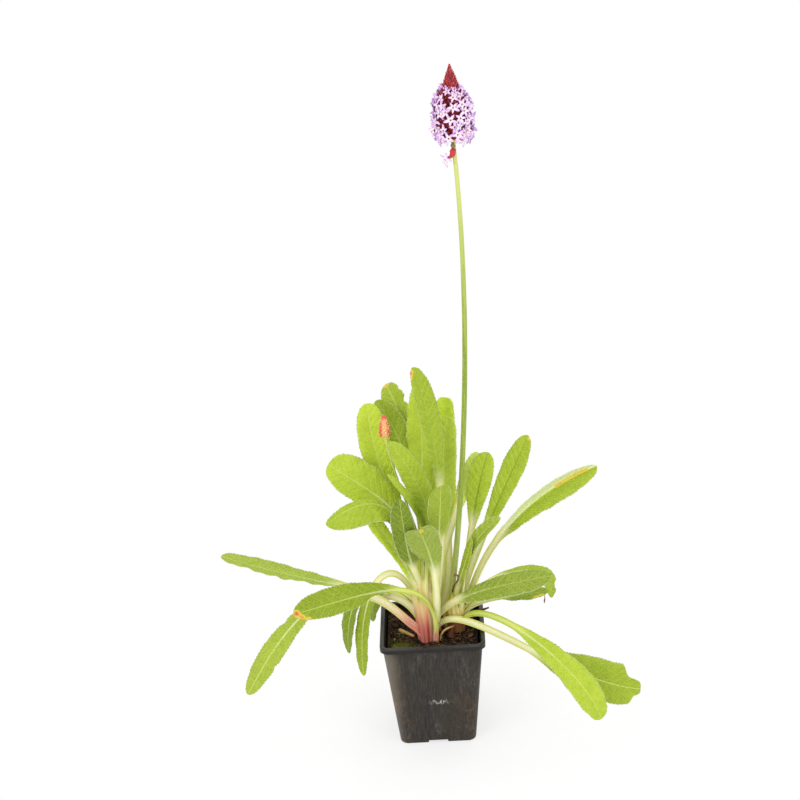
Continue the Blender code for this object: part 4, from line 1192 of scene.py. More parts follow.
crumb_finish = speckle_finish("crumbs", ((18, 12, 8), (46, 32, 21), (104, 76, 50)))
places = on_soil(1100, 21, 37.6, 0.1)
size = 0.35 + 1.4 * chance((len(places), 1, 1), 22) ** 3
stretch = 1 + 0.45 * jumble((len(places), 1, 3), 23)
crumbs, faces = scatter(BALL, BALL_FACES, places, turns(len(places), 24) * size * stretch)
make_piece("compost_crumbs", crumbs, faces, crumb_finish, (), shades(len(places), len(BALL), 25))
print("crumbs:", len(places), "of", len(BALL_FACES), "faces")

# %% [markdown]
# Fibres, twigs, roots and dry stalks are all round pieces along a bent line.  A curve object
# with a bevel could make them; here the rings are worked out directly, so that the radius,
# the knobs and the flatness can change along the way.

# %% Cords
def tube(place, along, guide, radius, angle, flat=1.0):
    """Rings square to a line, on two axes: one square to the line and to the guide, and
    one square to both, along which flat squashes the ring."""
    side = unit(np.cross(along, guide))
    up = np.cross(side, along)
    return (place[:, None] + side[:, None] * (radius * np.cos(angle))[..., None]
            + up[:, None] * (radius * np.sin(angle) * flat)[..., None])


def cord(points, radii, sides=10, rows=24, knobs=0.0, seed=0, flat=1.0):
    """A round piece along a smooth line through a few points (a Catmull-Rom spline).

    radii are spread evenly along it, knobs roughen it, and flat squashes its section.
    """
    points = np.array(points, float)
    ends = np.vstack([2 * points[0] - points[1], points, 2 * points[-1] - points[-2]])
    t = np.linspace(0, len(points) - 1 - 1e-6, rows)
    i = t.astype(int)
    f = (t - i)[:, None]
    a, b, c, d = (ends[i + m] for m in range(4))
    place = 0.5 * (2 * b + (c - a) * f + (2 * a - 5 * b + 4 * c - d) * f ** 2
                   + (3 * b - a - 3 * c + d) * f ** 3)
    along = unit(np.gradient(place, axis=0))
    angle = circle(sides)
    radius = np.interp(np.linspace(0, 1, rows), np.linspace(0, 1, len(radii)), radii)[:, None]
    radius = radius * (1 + knobs * wander(np.arange(rows)[:, None] * 0.9 + angle, seed))
    return tube(place, along, (0.31, 0.94, 0.12), radius, angle, flat)


def joined(meshes):
    """Points and faces of several meshes as one; faces count on from the points before."""
    points, faces, first = [], [], 0
    for more_points, more_faces in meshes:
        points.append(more_points)
        faces += [[first + v for v in face] for face in more_faces]
        first += len(more_points)
    return np.vstack(points), faces


example = cord(((0, 0, 0), (0, 5, 5), (0, 10, 0)), (1.0, 0.5))
print("a cord is", example.shape[0], "rings of", example.shape[1], "points")

# %% [markdown]
# Fibres are short bent cords that lie about on the compost.  They are held above its body
# and inside the pot's wall.

# %% Fibres
FIBRE_COUNT, FIBRE_SIDES, FIBRE_ROWS = 150, 4, 7
INSIDE_WALL = 38.2                      # mm from the middle of the pot
fibre_cords = []
for n, start in enumerate(on_soil(FIBRE_COUNT, 31, 35.5, 0.3)):
    turn, bend, length = np.pi * jumble(3, 400 + n) + np.array([0, 0, 1.5 * np.pi])
    ahead = np.array([np.cos(turn), np.sin(turn), 0]) * 1.6 * length / np.pi
    aside = np.array([-np.sin(turn), np.cos(turn), 0.8]) * 0.45 * bend
    line = [start - ahead, start + aside, start + ahead]
    fibre_cords.append(skin(cord(line, (0.1, 0.22, 0.08), FIBRE_SIDES, FIBRE_ROWS)))
fibre_points, fibre_faces = joined(fibre_cords)
fibre_points[:, 2] = np.maximum(fibre_points[:, 2], SOIL_LEVEL - 1.5)
fibre_points[:, :2] = np.clip(fibre_points[:, :2], -INSIDE_WALL, INSIDE_WALL)
fibre_finish = speckle_finish("fibres", ((92, 60, 34), (146, 104, 62), (204, 164, 110)), 0.8)
make_piece("compost_fibres", fibre_points, fibre_faces, fibre_finish, (),
           shades(len(fibre_cords), FIBRE_SIDES * FIBRE_ROWS, 32))
print("fibres:", len(fibre_cords))

# %% [markdown]
# A bark flake is a crooked tile: four corners, and the same four again a little smaller and
# higher.  The flakes lie nearly flat, as bark does after a watering.

# %% Bark flakes
FLAKE = np.array([(-1, -0.7, 0), (0.6, -1, 0), (1, 0.5, 0), (-0.4, 1, 0)], float)
FLAKE = np.vstack([FLAKE, FLAKE * 0.85 + np.array([0, 0, 0.3])])
FLAKE_FACES = np.vstack([[(3, 2, 1, 0), (4, 5, 6, 7)], ring_faces(2, 4)])
places = on_soil(70, 41, 34.5, 0.35)
size = np.array([1.7, 0.9, 0.9]) * (1 + 0.5 * jumble((len(places), 1, 1), 42))
flakes, faces = scatter(FLAKE, FLAKE_FACES, places, turns(len(places), 43, 0.75) * size)
bark_finish = speckle_finish("bark", ((34, 22, 15), (78, 52, 34), (128, 92, 66)), 0.85, 500.0)
make_piece("compost_flakes", flakes, faces, bark_finish, (),
           shades(len(places), len(FLAKE), 44))
print("flakes:", len(places))

# %% [markdown]
# A few old pieces lie on the compost or stand in it: the stub of a cut leaf, a root that
# arches out and back, a dried stalk's base, a twig over the rim and a curled tendril.  A
# thread hangs from the tip of one leaf.

# %% Old stalks, root, twig and tendril
yellow_finish = speckle_finish("dry_stalks", ((176, 132, 70), (222, 186, 118), (236, 208, 150)),
                               0.6, 200.0, 0.3)
dry_finish = speckle_finish("dry_brown", ((58, 34, 24), (104, 62, 42), (140, 96, 66)), 0.75, 300.0, 0.5)
LEAF_STUB = ((-28.5, -1.0, 95.0), (-24.5, -4.5, 94.6), (-20.0, -8.5, 94.4), (-16.0, -12.5, 94.3))
ROOT_ARC = ((6.4, -19.0, 92.6), (7.4, -19.0, 97.2), (9.4, -18.6, 100.6), (12.8, -17.4, 102.6),
            (16.8, -14.0, 102.4), (19.0, -8.0, 100.0))
DRIED_BASE = ((15.6, -13.6, 93.6), (16.0, -13.8, 95.8), (16.8, -14.2, 98.5), (17.8, -14.8, 100.5))
TWIG = ((31.0, 13.8, 94.0), (36.0, 14.6, 97.6), (41.0, 15.4, 101.2), (45.5, 16.0, 102.0),
        (50.0, 16.8, 103.2))
TENDRIL = ((19.0, 2.0, 127.0), (20.4, -3.0, 135.0), (22.6, -6.0, 140.0), (24.4, -7.0, 143.4),
           (24.4, -7.2, 147.0), (22.6, -7.2, 148.8), (21.2, -7.0, 146.6))
THREAD = ((97.7, -10.0, 127.1), (97.9, -10.0, 123.4), (97.5, -10.0, 121.0), (97.3, -10.0, 118.5))
# node, line, radii along it, finish, slot, knobs
STALKS = (("leaf_stub", LEAF_STUB, (1.5, 1.6, 1.3, 1.1), yellow_finish, "yellowed", 0.10),
          ("root_arc", ROOT_ARC, (0.8, 0.9, 0.9, 0.7), yellow_finish, "yellowed", 0.15),
          ("dried_base", DRIED_BASE, (3.2, 2.9, 2.3, 1.5, 0.6), dry_finish, "dry", 0.16),
          ("twig", TWIG, (1.0, 0.9, 0.8, 1.1, 0.6), bark_finish, "bark", 0.2),
          ("curled_tendril", TENDRIL, (0.7, 0.7, 0.65, 0.5), dry_finish, "dry", 0.1))
for seed, (name, line, radii, finish, slot, knobs) in enumerate(STALKS):
    points, faces = skin(cord(line, radii, 12, 30, knobs, seed))
    make_piece(name + "_cord", points, faces, finish, [name], shades(1, len(points), seed + 60))
points, faces = skin(cord(THREAD, (0.3, 0.35, 0.7, 0.3), 8, 16, 0.1, 3))
make_piece("dry_thread", points, faces, dry_finish, (), shades(1, len(points), 66))
print("old stalks and twigs:", len(STALKS) + 1)

# %% [markdown]
# A bark chip is a flat lump with an uneven outline, built from rings that widen, round over
# and close.

# %% Bark chips
# node, place and turn in degrees, length, width and thickness in mm
CHIPS = (("bark_chip_front", (24.0, -30.0), 20, (9.0, 5.0, 2.2)),
         ("bark_chip_left", (-32.0, 10.0), -50, (8.0, 4.5, 2.0)),
         ("bark_chip_right", (33.0, -14.0), 70, (7.0, 4.0, 1.8)))
# share of the half width, and share of the way up, from the underside to the top
CHIP_ROWS = np.array([(0.7, -0.8), (0.95, -0.6), (1.0, 0.1), (0.97, 0.6), (0.85, 0.9), (0.5, 1.0),
                      (0.15, 0.95)])
for seed, (name, place, turn, size) in enumerate(CHIPS):
    angle = circle(28)
    outline = CHIP_ROWS[:, :1] * (1 + 0.16 * wander(angle * 2, seed + 4))
    u, v = outline * np.cos(angle) * size[0] / 2, outline * np.sin(angle) * size[1] / 2
    h = SOIL_LEVEL + size[2] * (0.4 + 0.55 * CHIP_ROWS[:, 1:] + 0.12 * wander(u * 2.3, seed + 2))
    cos, sin = np.cos(np.radians(turn)), np.sin(np.radians(turn))
    rings = np.stack([place[0] + u * cos - v * sin, place[1] + u * sin + v * cos, h], axis=-1)
    points, faces = skin(rings)
    make_piece(name + "_flake", points, faces, bark_finish, [name],
               shades(1, len(points), seed + 70))
print("bark chips:", len(CHIPS))

# %% [markdown]
# Damp corners grow moss: a low cushion with many upright tufts, each a three-sided spike.

# %% Moss
moss_finish = speckle_finish("moss", ((38, 34, 14), (84, 86, 28), (150, 154, 56)), 0.9, 900.0, 0.4)
MOSS_PLACE, MOSS_SIZE = (-27.0, -25.5), (9.5, 6.6)
rows = np.linspace(0, np.pi / 2, 12)[:, None]
angle = circle(48)
spread = np.cos(rows * 0.97) * (1 + 0.14 * wander(angle * 2, 6))
bump = 1.5 * np.sin(rows) + 0.35 * wander(angle * 7 + rows * 9, 3) * np.sin(2 * rows)
points, faces = skin(ellipses((*MOSS_PLACE, SOIL_LEVEL - 0.9), MOSS_SIZE[0] * spread,
                              MOSS_SIZE[1] * spread, bump, angle))
make_piece("moss_cushion", points, faces, moss_finish, ["moss"], shades(1, len(points), 80))

SPIKE = np.array([(0.16, 0, 0), (-0.08, 0.14, 0), (-0.08, -0.14, 0), (0, 0, 1.0)])
SPIKE_FACES = np.array([(0, 1, 3), (1, 2, 3), (2, 0, 3), (2, 1, 0)])
TUFTS, TUFT_SPREAD = 900, 1.5           # tufts reach half as far again as the cushion
tuft = chance((TUFTS, 2), 81)
radius, turn = np.sqrt(tuft[:, 0]) * TUFT_SPREAD, 2 * np.pi * tuft[:, 1]
dome = 1.1 * np.sqrt(np.clip(1 - radius ** 2, 0, 1))
places = ellipses((*MOSS_PLACE, SOIL_LEVEL - 0.6), MOSS_SIZE[0] * radius, MOSS_SIZE[1] * radius, dome, turn)
places = places[(np.abs(places[:, :2]) < 38).all(axis=1)]
size = np.array([1.0, 1.0, 1.5]) * (1 + 0.4 * jumble((len(places), 1, 1), 82))
points, faces = scatter(SPIKE, SPIKE_FACES, places, turns(len(places), 83, 0.6) * size)
make_piece("moss_tufts", points, faces, moss_finish, (), shades(len(places), len(SPIKE), 84))
print("moss tufts:", len(places))

# %% [markdown]
# A seedling is a thin stem with two seed leaves, all of them cords, and the leaves are
# flattened ones.

# %% Seedlings
SEEDLINGS = ((-28.9, -8.4, 95), (23.9, -8.7, 96), (8.1, -17.9, 95), (-25.5, -9.0, 95.4), (-33, -18, 94.6))
seed_leaves = []
for number, place in enumerate(np.array(SEEDLINGS, float)):
    stem_foot = np.array([place[0], place[1], SOIL_LEVEL - 1])
    seed_leaves.append(skin(cord([stem_foot, (stem_foot + place) / 2 + 0.15, place], (0.25, 0.2), 5, 7)))
    for turn in (0.3 + number, 3.3 + number):
        out = np.array([np.cos(turn), np.sin(turn), 0.35])
        line = [place, place + 0.9 * out, place + 1.8 * out]
        seed_leaves.append(skin(cord(line, (0.2, 0.75, 0.2), 8, 7, flat=0.3)))
points, faces = joined(seed_leaves)
seedling_finish = speckle_finish("seedlings", ((110, 138, 36), (156, 182, 58), (186, 206, 88)),
                                 0.6, 300.0, 0.1)
make_piece("seedlings", points, faces, seedling_finish, (), shades(1, len(points), 85))
print("seedlings:", len(SEEDLINGS))

# %% [markdown]
# ## The shoots
#
# All stalks of a rosette come out of a short fleshy shoot.  It is a small mound with folds
# round it, pink where it's young and rust brown where old stalks have dried off.

# %% Shoots
def resample(profile, rows):
    """Columns of a profile at evenly spaced steps between its rows."""
    steps = np.linspace(0, len(profile) - 1, rows)
    return [np.interp(steps, np.arange(len(profile)), column)[:, None] for column in profile.T]


shoot_finish, tree = new_finish("shoot", 0.5, 0.35)
where = object_vector(tree)
streak = noise(tree, where, 260.0, 5.0, 0.65, (1, 1, 0.12))
flesh = layered(
    tree, mix(tree, between(tree, streak, 0.35, 0.65), srgb(206, 132, 108), srgb(138, 52, 42)),
    (between(tree, noise(tree, where, 90.0), 0.5, 0.7), srgb(120, 74, 44)))
finish_with(tree, flesh, streak, 0.5, 0.5)
# radius and height above the shoot's top, mm
MOUND = np.array([(5.0, -20.0), (6.8, -8.0), (7.3, -2.0), (7.1, 0.2), (6.6, 1.8), (5.6, 3.4), (4.2, 4.6),
                  (2.2, 5.2), (0.4, 5.3)])
for seed, (name, shoot) in enumerate((("shoot_front", F), ("shoot_right", R), ("shoot_rear", B))):
    angle = circle(60)
    radius, height = resample(MOUND, 30)
    radius = radius * (1 + 0.08 * np.abs(np.sin(angle * 3.5 + seed)) + 0.05 * wander(angle * 3, seed))
    points, faces = skin(ellipses((*shoot, CROWN_TOP), radius, radius, height, angle))
    make_piece(name + "_mound", points, faces, shoot_finish, [name])
print("shoots:", len(SHOOTS), "of", len(faces), "faces each")

# %% [markdown]
# The broad feet of the outer stalks wrap round the inner ones and close the gaps between
# them.  One fluted cup for each visible shoot stands for them.  It is red where the light
# never reaches, and creamy higher up; on the older shoot it has turned rust brown and tan.

# %% Pink and rusty sheaths
sheath_finish, tree = new_finish("sheath", 0.5, 0.3)
across, up, aged = parts(tree, carried(tree, "sheath"))
streak = noise(tree, object_vector(tree), 340.0, 4.0, 0.65, (1, 1, 0.06))
red_line = bell(tree, times(tree, plus(tree, across, -0.2), 6.0))
red = mix(tree, between(tree, up, 0.2, 0.7), srgb(176, 56, 56), srgb(224, 130, 84))
fresh = layered(
    tree, mix(tree, between(tree, up, 0.2, 0.9), srgb(212, 124, 110), srgb(226, 200, 130)),
    (between(tree, across, 0.1, 0.5, 0, 0.8), srgb(226, 204, 158)),
    (times(tree, red_line, between(tree, up, 0.95, 0.5)), red),
    (between(tree, up, 1.0, 1.5), srgb(196, 206, 84)))
old = layered(
    tree, mix(tree, between(tree, up, 0.3, 0.7), srgb(164, 108, 64), srgb(222, 202, 120)),
    (between(tree, up, 0.9, 1.4), srgb(206, 212, 96)))
creases = mix(tree, between(tree, up, 0.2, 0.9), srgb(160, 84, 64), srgb(250, 240, 196))
flesh = layered(tree, mix(tree, aged, fresh, old), (between(tree, streak, 0.45, 0.65, 0, 0.5), creases))
finish_with(tree, flesh, streak, 0.6, 0.8)
print("sheath finish:", len(tree.nodes), "nodes")

# %% [markdown]
# A cup is a stack of ellipses whose widths follow a profile.  Its flutes turn a little as
# they rise, and its edge is uneven.

# %% Sheaths round the shoots
# half widths across and from front to back, and height above the shoot's top, mm
FRONT_CUP = np.array([(7.9, 8.3, -4.0), (7.9, 8.3, 1.0), (8.2, 8.3, 9.0), (8.8, 8.5, 19.0),
                      (9.5, 8.3, 29.0), (10.2, 7.6, 39.0), (9.4, 6.4, 48.0), (7.2, 4.6, 58.0),
                      (4.2, 3.0, 68.0), (0.4, 0.4, 76.0)])
RIGHT_CUP = np.array([(7.2, 7.2, -4.0), (7.4, 7.4, 2.0), (7.8, 7.6, 10.0), (8.2, 7.6, 17.0),
                      (7.8, 7.0, 22.0), (6.6, 6.0, 26.0), (4.8, 4.4, 29.0), (2.6, 2.4, 31.5),
                      (0.4, 0.4, 32.5)])
# piece, middle, profile, age, and the height in mm at which the colours have run through
SHEATHS = (("sheath_front", (-4.6, -11.5), FRONT_CUP, 0.0, 44),
           ("sheath_right", (20.8, 0.5), RIGHT_CUP, 1.0, 26))
for name, centre, cup, aged, colour_top in SHEATHS:
    angle = circle(110)
    wide, deep, height = resample(cup, 56)
    flutes = 0.13 * np.abs(np.sin((angle + height / 90) * 5.5 + 0.9)) ** 0.6
    flutes = 0.93 + flutes + 0.03 * wander(angle * 4 + height / 9, 5)
    uneven = height * (1 + 0.12 * wander(angle * 3, 8))
    points, faces = skin(ellipses((*centre, CROWN_TOP), wide * flutes, deep * flutes, uneven, angle))
    across, up = (points[:, 0] - centre[0]) / 8, (points[:, 2] - CROWN_TOP) / colour_top
    make_piece(name, points, faces, sheath_finish, (),
               {"sheath": np.column_stack([across, up, np.full(len(points), aged)])})
print("sheaths:", len(SHEATHS), "of", len(faces), "faces each")

# %% [markdown]
# ## Flower stems
#
# The tall stem is bare, faintly ribbed, and dusted with the pale meal that primroses carry.
# It pales to yellow green under the spike.

# %% Stems
STEM_LINE = ((13.1, 3.0, 93.3), (38.0, 4.5, 232.0), (48.0, 5.0, 400.0), (40.5, 5.0, 519.5))
YOUNG_LINE = ((-1.3, -12.7, 93.3), (5.3, -12.6, 187.0), (-18.7, -12.9, 214.6), (-29.0, -13.0, 280.0))
STEM_SIDES = 28


def stem_surface(line, radii, rows, wobble):
    """Round stem on a Bezier curve with seven shallow ribs; the attribute holds the share
    of its height."""
    s = np.linspace(0, 1, rows)
    place, along = bezier(line, s)
    angle = circle(STEM_SIDES)
    radius = np.interp(s, np.linspace(0, 1, len(radii)), radii)[:, None]
    radius = radius * (1 + 0.02 * np.cos(7 * angle) + wobble * wander(s * 60, 2)[:, None])
    points, faces = skin(tube(place, along, (0.0, 1.0, 0.0), radius, angle))
    return points, faces, {"stem_share": thrice(np.repeat(s, STEM_SIDES))}


stem_finish, tree = new_finish("stem", 0.55, 0.3)
share = parts(tree, carried(tree, "stem_share"))[0]
where = object_vector(tree)
streak = noise(tree, where, 600.0, 3.0, 0.6, (1, 1, 0.05))
meal = add(tree, "TexVoronoi", where, None, 1100.0)
rind = layered(
    tree, mix(tree, between(tree, streak, 0.35, 0.65), srgb(128, 150, 40), srgb(160, 178, 70)),
    (between(tree, share, 0.55, 1.0), srgb(206, 214, 122)),
    # painted light: the lower third of the stem is made paler, to make up for the shade of the leaves round
    # it
    (between(tree, share, 0.34, 0.1, 0, 0.5), srgb(200, 210, 128)),
    (between(tree, share, 0.12, 0.0), srgb(206, 198, 128)),
    (between(tree, meal, 0.32, 0.18, 0, 0.5), srgb(222, 226, 176)))
finish_with(tree, rind, streak, 0.25, 0.2)
points, faces, data = stem_surface(STEM_LINE, (2.75, 2.3, 2.12, 1.95, 1.75), 160, 0.01)
make_piece("flower_stem_tube", points, faces, stem_finish, ["flower_stem"], data)
points, faces, data = stem_surface(YOUNG_LINE, (1.4, 1.0, 0.85, 0.8), 80, 0.02)
make_piece("young_stem_tube", points, faces, stem_finish, ["young_stem"], data)
print("stems:", len(faces), "faces on the thin one")

# %% [markdown]
# ## The flower spike
#
# Buds open from the bottom up, so the spike has a closed cone of scale-like calyces on top
# and open stars below.  Calyces follow the golden angle, as most buds on a stem do, and get
# smaller and lie closer towards the tip.

# %% Core of the spike
SPIKE_PLACE = np.array([40.5, 5.0, 519.8])
CORE = np.array([(1.9, 4.0), (5.6, 6.5), (8.2, 10.0), (9.8, 17.0), (9.3, 26.0), (8.2, 33.0), (6.8, 40.0),
                 (6.0, 44.0), (5.6, 47.0), (4.9, 50.5), (3.9, 54.0), (2.8, 57.0), (1.6, 60.0), (0.8, 62.2),
                 (0.15, 64.6)])
RED_SHADES = ((134, 42, 50), (190, 72, 76), (216, 102, 94))


def cone(place, profile, share, rows, sides):
    """Points and faces of a round core that is a share of the profile's width."""
    radius, height = resample(profile, rows)
    return skin(ellipses(place, share * radius, share * radius, height, circle(sides)))


calyx_finish = speckle_finish("calyx_red", RED_SHADES, 0.6, 700.0, 0.3)
points, faces = cone(SPIKE_PLACE, CORE, 0.9, 40, 48)
make_piece("spike_core", points, faces, calyx_finish, ["flower_spike"],
           shades(1, len(points), 90))
print("core of the spike:", CORE[-1, 1] - CORE[0, 1], "mm high")

# %% [markdown]
# One calyx is a pointed drop that lies along its own third axis.  Copies of it are set out
# by height and golden turn, and each is turned so that it points out and up.

# %% Calyces on the cone
GOLDEN_TURN = np.pi * (3 - 5 ** 0.5)
# share of the length, and half width
DROP_ROWS = np.array([(0.0, 0.05), (0.12, 0.55), (0.35, 0.95), (0.6, 0.9), (0.82, 0.55), (1.0, 0.06)])
DROP = ellipses((0, 0, 0), DROP_ROWS[:, 1:], DROP_ROWS[:, 1:], DROP_ROWS[:, :1], circle(8)).reshape(-1, 3)
DROP_FACES = np.vstack([ring_faces(6, 8), [(3, 2, 1, 0), (7, 4, 3, 0), (7, 6, 5, 4)],
                        np.array([(0, 1, 2, 3), (0, 3, 4, 7), (4, 5, 6, 7)]) + 40])


def frames_at(angle, tilt):
    """Across, up and outward axes for a direction at a turn and tilt, as matrices."""
    out = np.stack([np.cos(angle) * np.cos(tilt), np.sin(angle) * np.cos(tilt), np.sin(tilt)], -1)
    across = np.stack([-np.sin(angle), np.cos(angle), 0 * angle], -1)
    return np.stack([across, np.cross(out, across), out], axis=-1)


def set_drops(centre, radius, height, turn, tilt, sizes):
    """Drops on a cone: each at its radius, height and turn, tilted up, and of its sizes."""
    places = ellipses(centre, radius, radius, height, turn)
    return scatter(DROP, DROP_FACES, places, frames_at(turn, tilt) * sizes)


count = 300
height = 6.0 + 57.5 * (1 - (1 - np.arange(count) / count) ** 1.15)
climb = np.radians(np.interp(height, (0, 30, 46, 64), (5, 38, 66, 82)))
size = np.interp(height, (0, 38, 48, 64), (1.6, 1.4, 0.95, 0.4)) * (1 + 0.12 * jumble(count, 91))
length = np.interp(height, (0, 38, 48, 64), (6.4, 5.2, 3.4, 1.8)) * (1 + 0.15 * jumble(count, 92))
root = np.interp(height, CORE[:, 1], CORE[:, 0]) * np.interp(height, (0, 46, 64), (0.82, 0.86, 0.75))
points, faces = set_drops(SPIKE_PLACE, root, height - 0.6, GOLDEN_TURN * np.arange(count), climb,
                          np.stack([size, size * 0.8, length], axis=-1)[:, None])
make_piece("spike_calyces", points, faces, calyx_finish, (), shades(count, len(DROP), 93))
print("calyces:", count, "with", len(faces), "faces")

# %% [markdown]
# An open floret is a star with five pointed lobes at the end of a thin tube.  One polar
# grid holds it: the reach of a lobe depends on the angle, and the same rings seen from
# behind give it a back.  Every floret gets lobes of slightly different lengths.

# %% One open floret
LOBE_STEPS = 40
STAR_RINGS = np.array([[0.0], [0.16], [0.24], [0.5], [0.78], [1.0]])    # shares of the reach
EYE = 0.45                              # mm, radius of the hole in the middle
PETAL_THICK = 0.28
TUBE_ROWS = np.array([(0.85, -0.6), (0.75, -2.5), (0.75, -6.5)])        # radius and height, mm


def floret_mesh(seed, reach=5.4):
    """Points, faces and attribute of one floret that faces along its third axis.

    The reach at an angle falls off on both sides of the middle of a lobe as a power just
    above 1, which gives a star with broad feet and pointed tips.
    """
    angle = circle(LOBE_STEPS)
    fifths = angle * 5 / (2 * np.pi) + 0.5
    lobe = np.floor(fifths).astype(int) % 5
    petal = (1 - 2 * np.abs(fifths % 1 - 0.5)) ** 1.2
    long_way = 1 + 0.16 * jumble(5, seed)[lobe]
    rim = 1.17 * reach * (0.34 + 0.66 * petal) * long_way
    droop = 1.7 * jumble(5, seed + 7)[lobe] + 0.1
    r = EYE + (rim - EYE) * STAR_RINGS
    z = 0.5 * np.sin(STAR_RINGS * np.pi * 0.6) - droop * STAR_RINGS ** 2 * 1.1 - 0.8 * (STAR_RINGS < 0.05)
    front = ellipses((0, 0, 0), r, r, z, angle)
    back = front[:1:-1] - np.array([0, 0, PETAL_THICK])
    tube_rings = ellipses((0, 0, 0), TUBE_ROWS[:, :1], TUBE_ROWS[:, :1], TUBE_ROWS[:, 1:], angle)
    share = np.vstack([STAR_RINGS, STAR_RINGS[:1:-1], 0 * TUBE_ROWS[:, :1]])
    behind = np.arange(len(share))[:, None] >= len(front)
    points, faces = skin(np.concatenate([front, back, tube_rings]))
    carries = np.concatenate([share, behind, 0 * share], axis=1)
    return points, faces, np.repeat(carries, LOBE_STEPS, axis=0)


petal_finish, tree = new_finish("petals", 0.55, 0.2)
share, behind, shade = parts(tree, carried(tree, "petal"))
veil = noise(tree, object_vector(tree), 500.0, 3.0)
petal = layered(
    tree, mix(tree, between(tree, share, 0.3, 1.0), srgb(254, 242, 248), srgb(234, 196, 242)),
    (times(tree, between(tree, veil, 0.45, 0.7), shade), srgb(218, 172, 236)),
    (times(tree, behind, 0.75), srgb(214, 170, 236)),
    (between(tree, share, 0.2, 0.08), srgb(226, 190, 130)),
    (between(tree, share, 0.08, 0.0), srgb(122, 80, 44)))
finish_with(tree, petal, veil, 0.15, 0.2)
print("one floret has", len(floret_mesh(1)[1]), "faces")

# %% [markdown]
# The florets on the front stand in a list, because they give the spike its face.  Those on
# its sides and rear follow the golden turn.  Each one leans, turns and droops by its own
# small random amounts.

# %% Skirt of florets
# turn in degrees, height and reach in mm
FRONT_STARS = (
    (-109, 44.4, 3.3), (-72, 43.9, 3.2), (-82, 40.1, 4.1), (-45, 40.9, 4.0), (-122, 33.7, 4.4),
    (-151, 33.9, 4.4), (-52, 34.4, 4.8), (-85, 32.6, 4.8), (-113, 29.1, 4.8), (-43, 28.6, 4.8),
    (-138, 27.0, 4.6), (-62, 23.7, 4.8), (-96, 22.9, 4.9), (-152, 21.3, 4.8), (-84, 17.2, 4.5),
    (-44, 18.3, 4.8), (-122, 14.5, 4.8), (-176, 12.7, 4.8), (-76, 11.2, 5.2), (-54, 12.0, 4.8),
    (-138, 7.5, 4.8), (-120, 5.4, 4.5), (-57, 6.1, 4.8), (-176, 38.9, 3.8), (-170, 27.4, 4.4),
    (-27, 22.2, 4.5), (-158, 5.0, 4.8), (-30, 8.0, 4.8), (-24, 35.0, 4.4), (-128, 11.0, 4.6),
    (-148, 15.5, 4.6), (-38, 13.0, 4.6), (-68, 18.0, 4.4), (-104, 8.5, 4.2), (-132, 39.0, 3.6))
FRONT_LEFT, FRONT_RIGHT = -168, -20     # the turns that the list covers, degrees
SPIRAL_STARS, SKIRT_FOOT, SKIRT_HIGH = 104, 4.0, 40.0
SKIRT_OUT = ((4, 10, 35, 40, 44), (13.5, 15.2, 13.6, 11.2, 9.0))    # height, and distance out
SKIRT_LIFT = ((4, 12, 30, 44), (-25, 0, 8, 22))                     # height, and degrees up
SHAKE_OUT, SHAKE_LIFT, SHAKE_TURN, SHAKE_SPIN = 0.7, 14, 0.35, 3    # mm, degrees, radians

number = np.arange(SPIRAL_STARS)
height = SKIRT_FOOT + SKIRT_HIGH * number / SPIRAL_STARS
spiral = np.column_stack([(np.degrees(GOLDEN_TURN * number) + 180) % 360 - 180, height,
                          np.interp(height, (30, 44), (4.9, 3.6))])
aside = (spiral[:, 0] < FRONT_LEFT) | (spiral[:, 0] > FRONT_RIGHT)
stars = np.vstack([FRONT_STARS, spiral[aside]])
star_meshes, star_data = [], []
for seed, (turn, height, reach) in enumerate(stars, start=1000):
    shake = jumble(5, seed)
    points, faces, data = floret_mesh(seed, reach)
    distance = np.interp(height, *SKIRT_OUT) + SHAKE_OUT * shake[0]
    lift = np.radians(np.interp(height, *SKIRT_LIFT) + SHAKE_LIFT * shake[1])
    turn = np.radians(turn)
    axes = frames_at(turn + SHAKE_TURN * shake[2], lift)
    cos, sin = np.cos(SHAKE_SPIN * shake[3]), np.sin(SHAKE_SPIN * shake[3])
    spun = points @ np.array([(cos, sin, 0), (-sin, cos, 0), (0, 0, 1)])
    star_meshes.append((spun @ axes.T + ellipses(SPIKE_PLACE, distance, distance, height, turn), faces))
    data[:, 2] = 0.5 + 0.5 * shake[4]
    star_data.append(data)
points, faces = joined(star_meshes)
make_piece("spike_florets", points, faces, petal_finish, (), {"petal": np.vstack(star_data)})
print("open florets:", len(stars), "with", len(faces), "faces")

# %% [markdown]
# A loose ring of pale closed buds covers the step from the cone to the skirt.  Below the
# skirt, a short piece of stem runs up into the spike.

# %% Closed buds over the skirt, and the stalk inside the spike
count = 30
height = 45.5 + 2.0 * jumble(count, 94)
radius = 6.6 + 1.2 * chance(count, 95)
climb = np.radians(35 + 20 * jumble(count, 96))
points, faces = set_drops(SPIKE_PLACE, radius, height, GOLDEN_TURN * np.arange(count), climb,
                          np.array([0.85, 0.85, 3.0]))
bud_data = np.tile([0.9, 0.6, 0.8], (len(points), 1))
make_piece("spike_buds", points, faces, petal_finish, (), {"petal": bud_data})
stalk_line = SPIKE_PLACE + np.outer((-1.3, 1.2, 3.7, 6.2), (0, 0, 1))
points, faces, _ = stem_surface(stalk_line, (1.75, 1.8), 12, 0.01)
make_piece("spike_stalk", points, faces, stem_finish, (), {"stem_share": np.ones((len(points), 3))})
print("closed buds:", count)

# %% [markdown]
# One floret hangs open below the skirt, on a red calyx, and a dry bract stands beside it.
# Their cords are short and fat, so the same function makes them as the twigs.

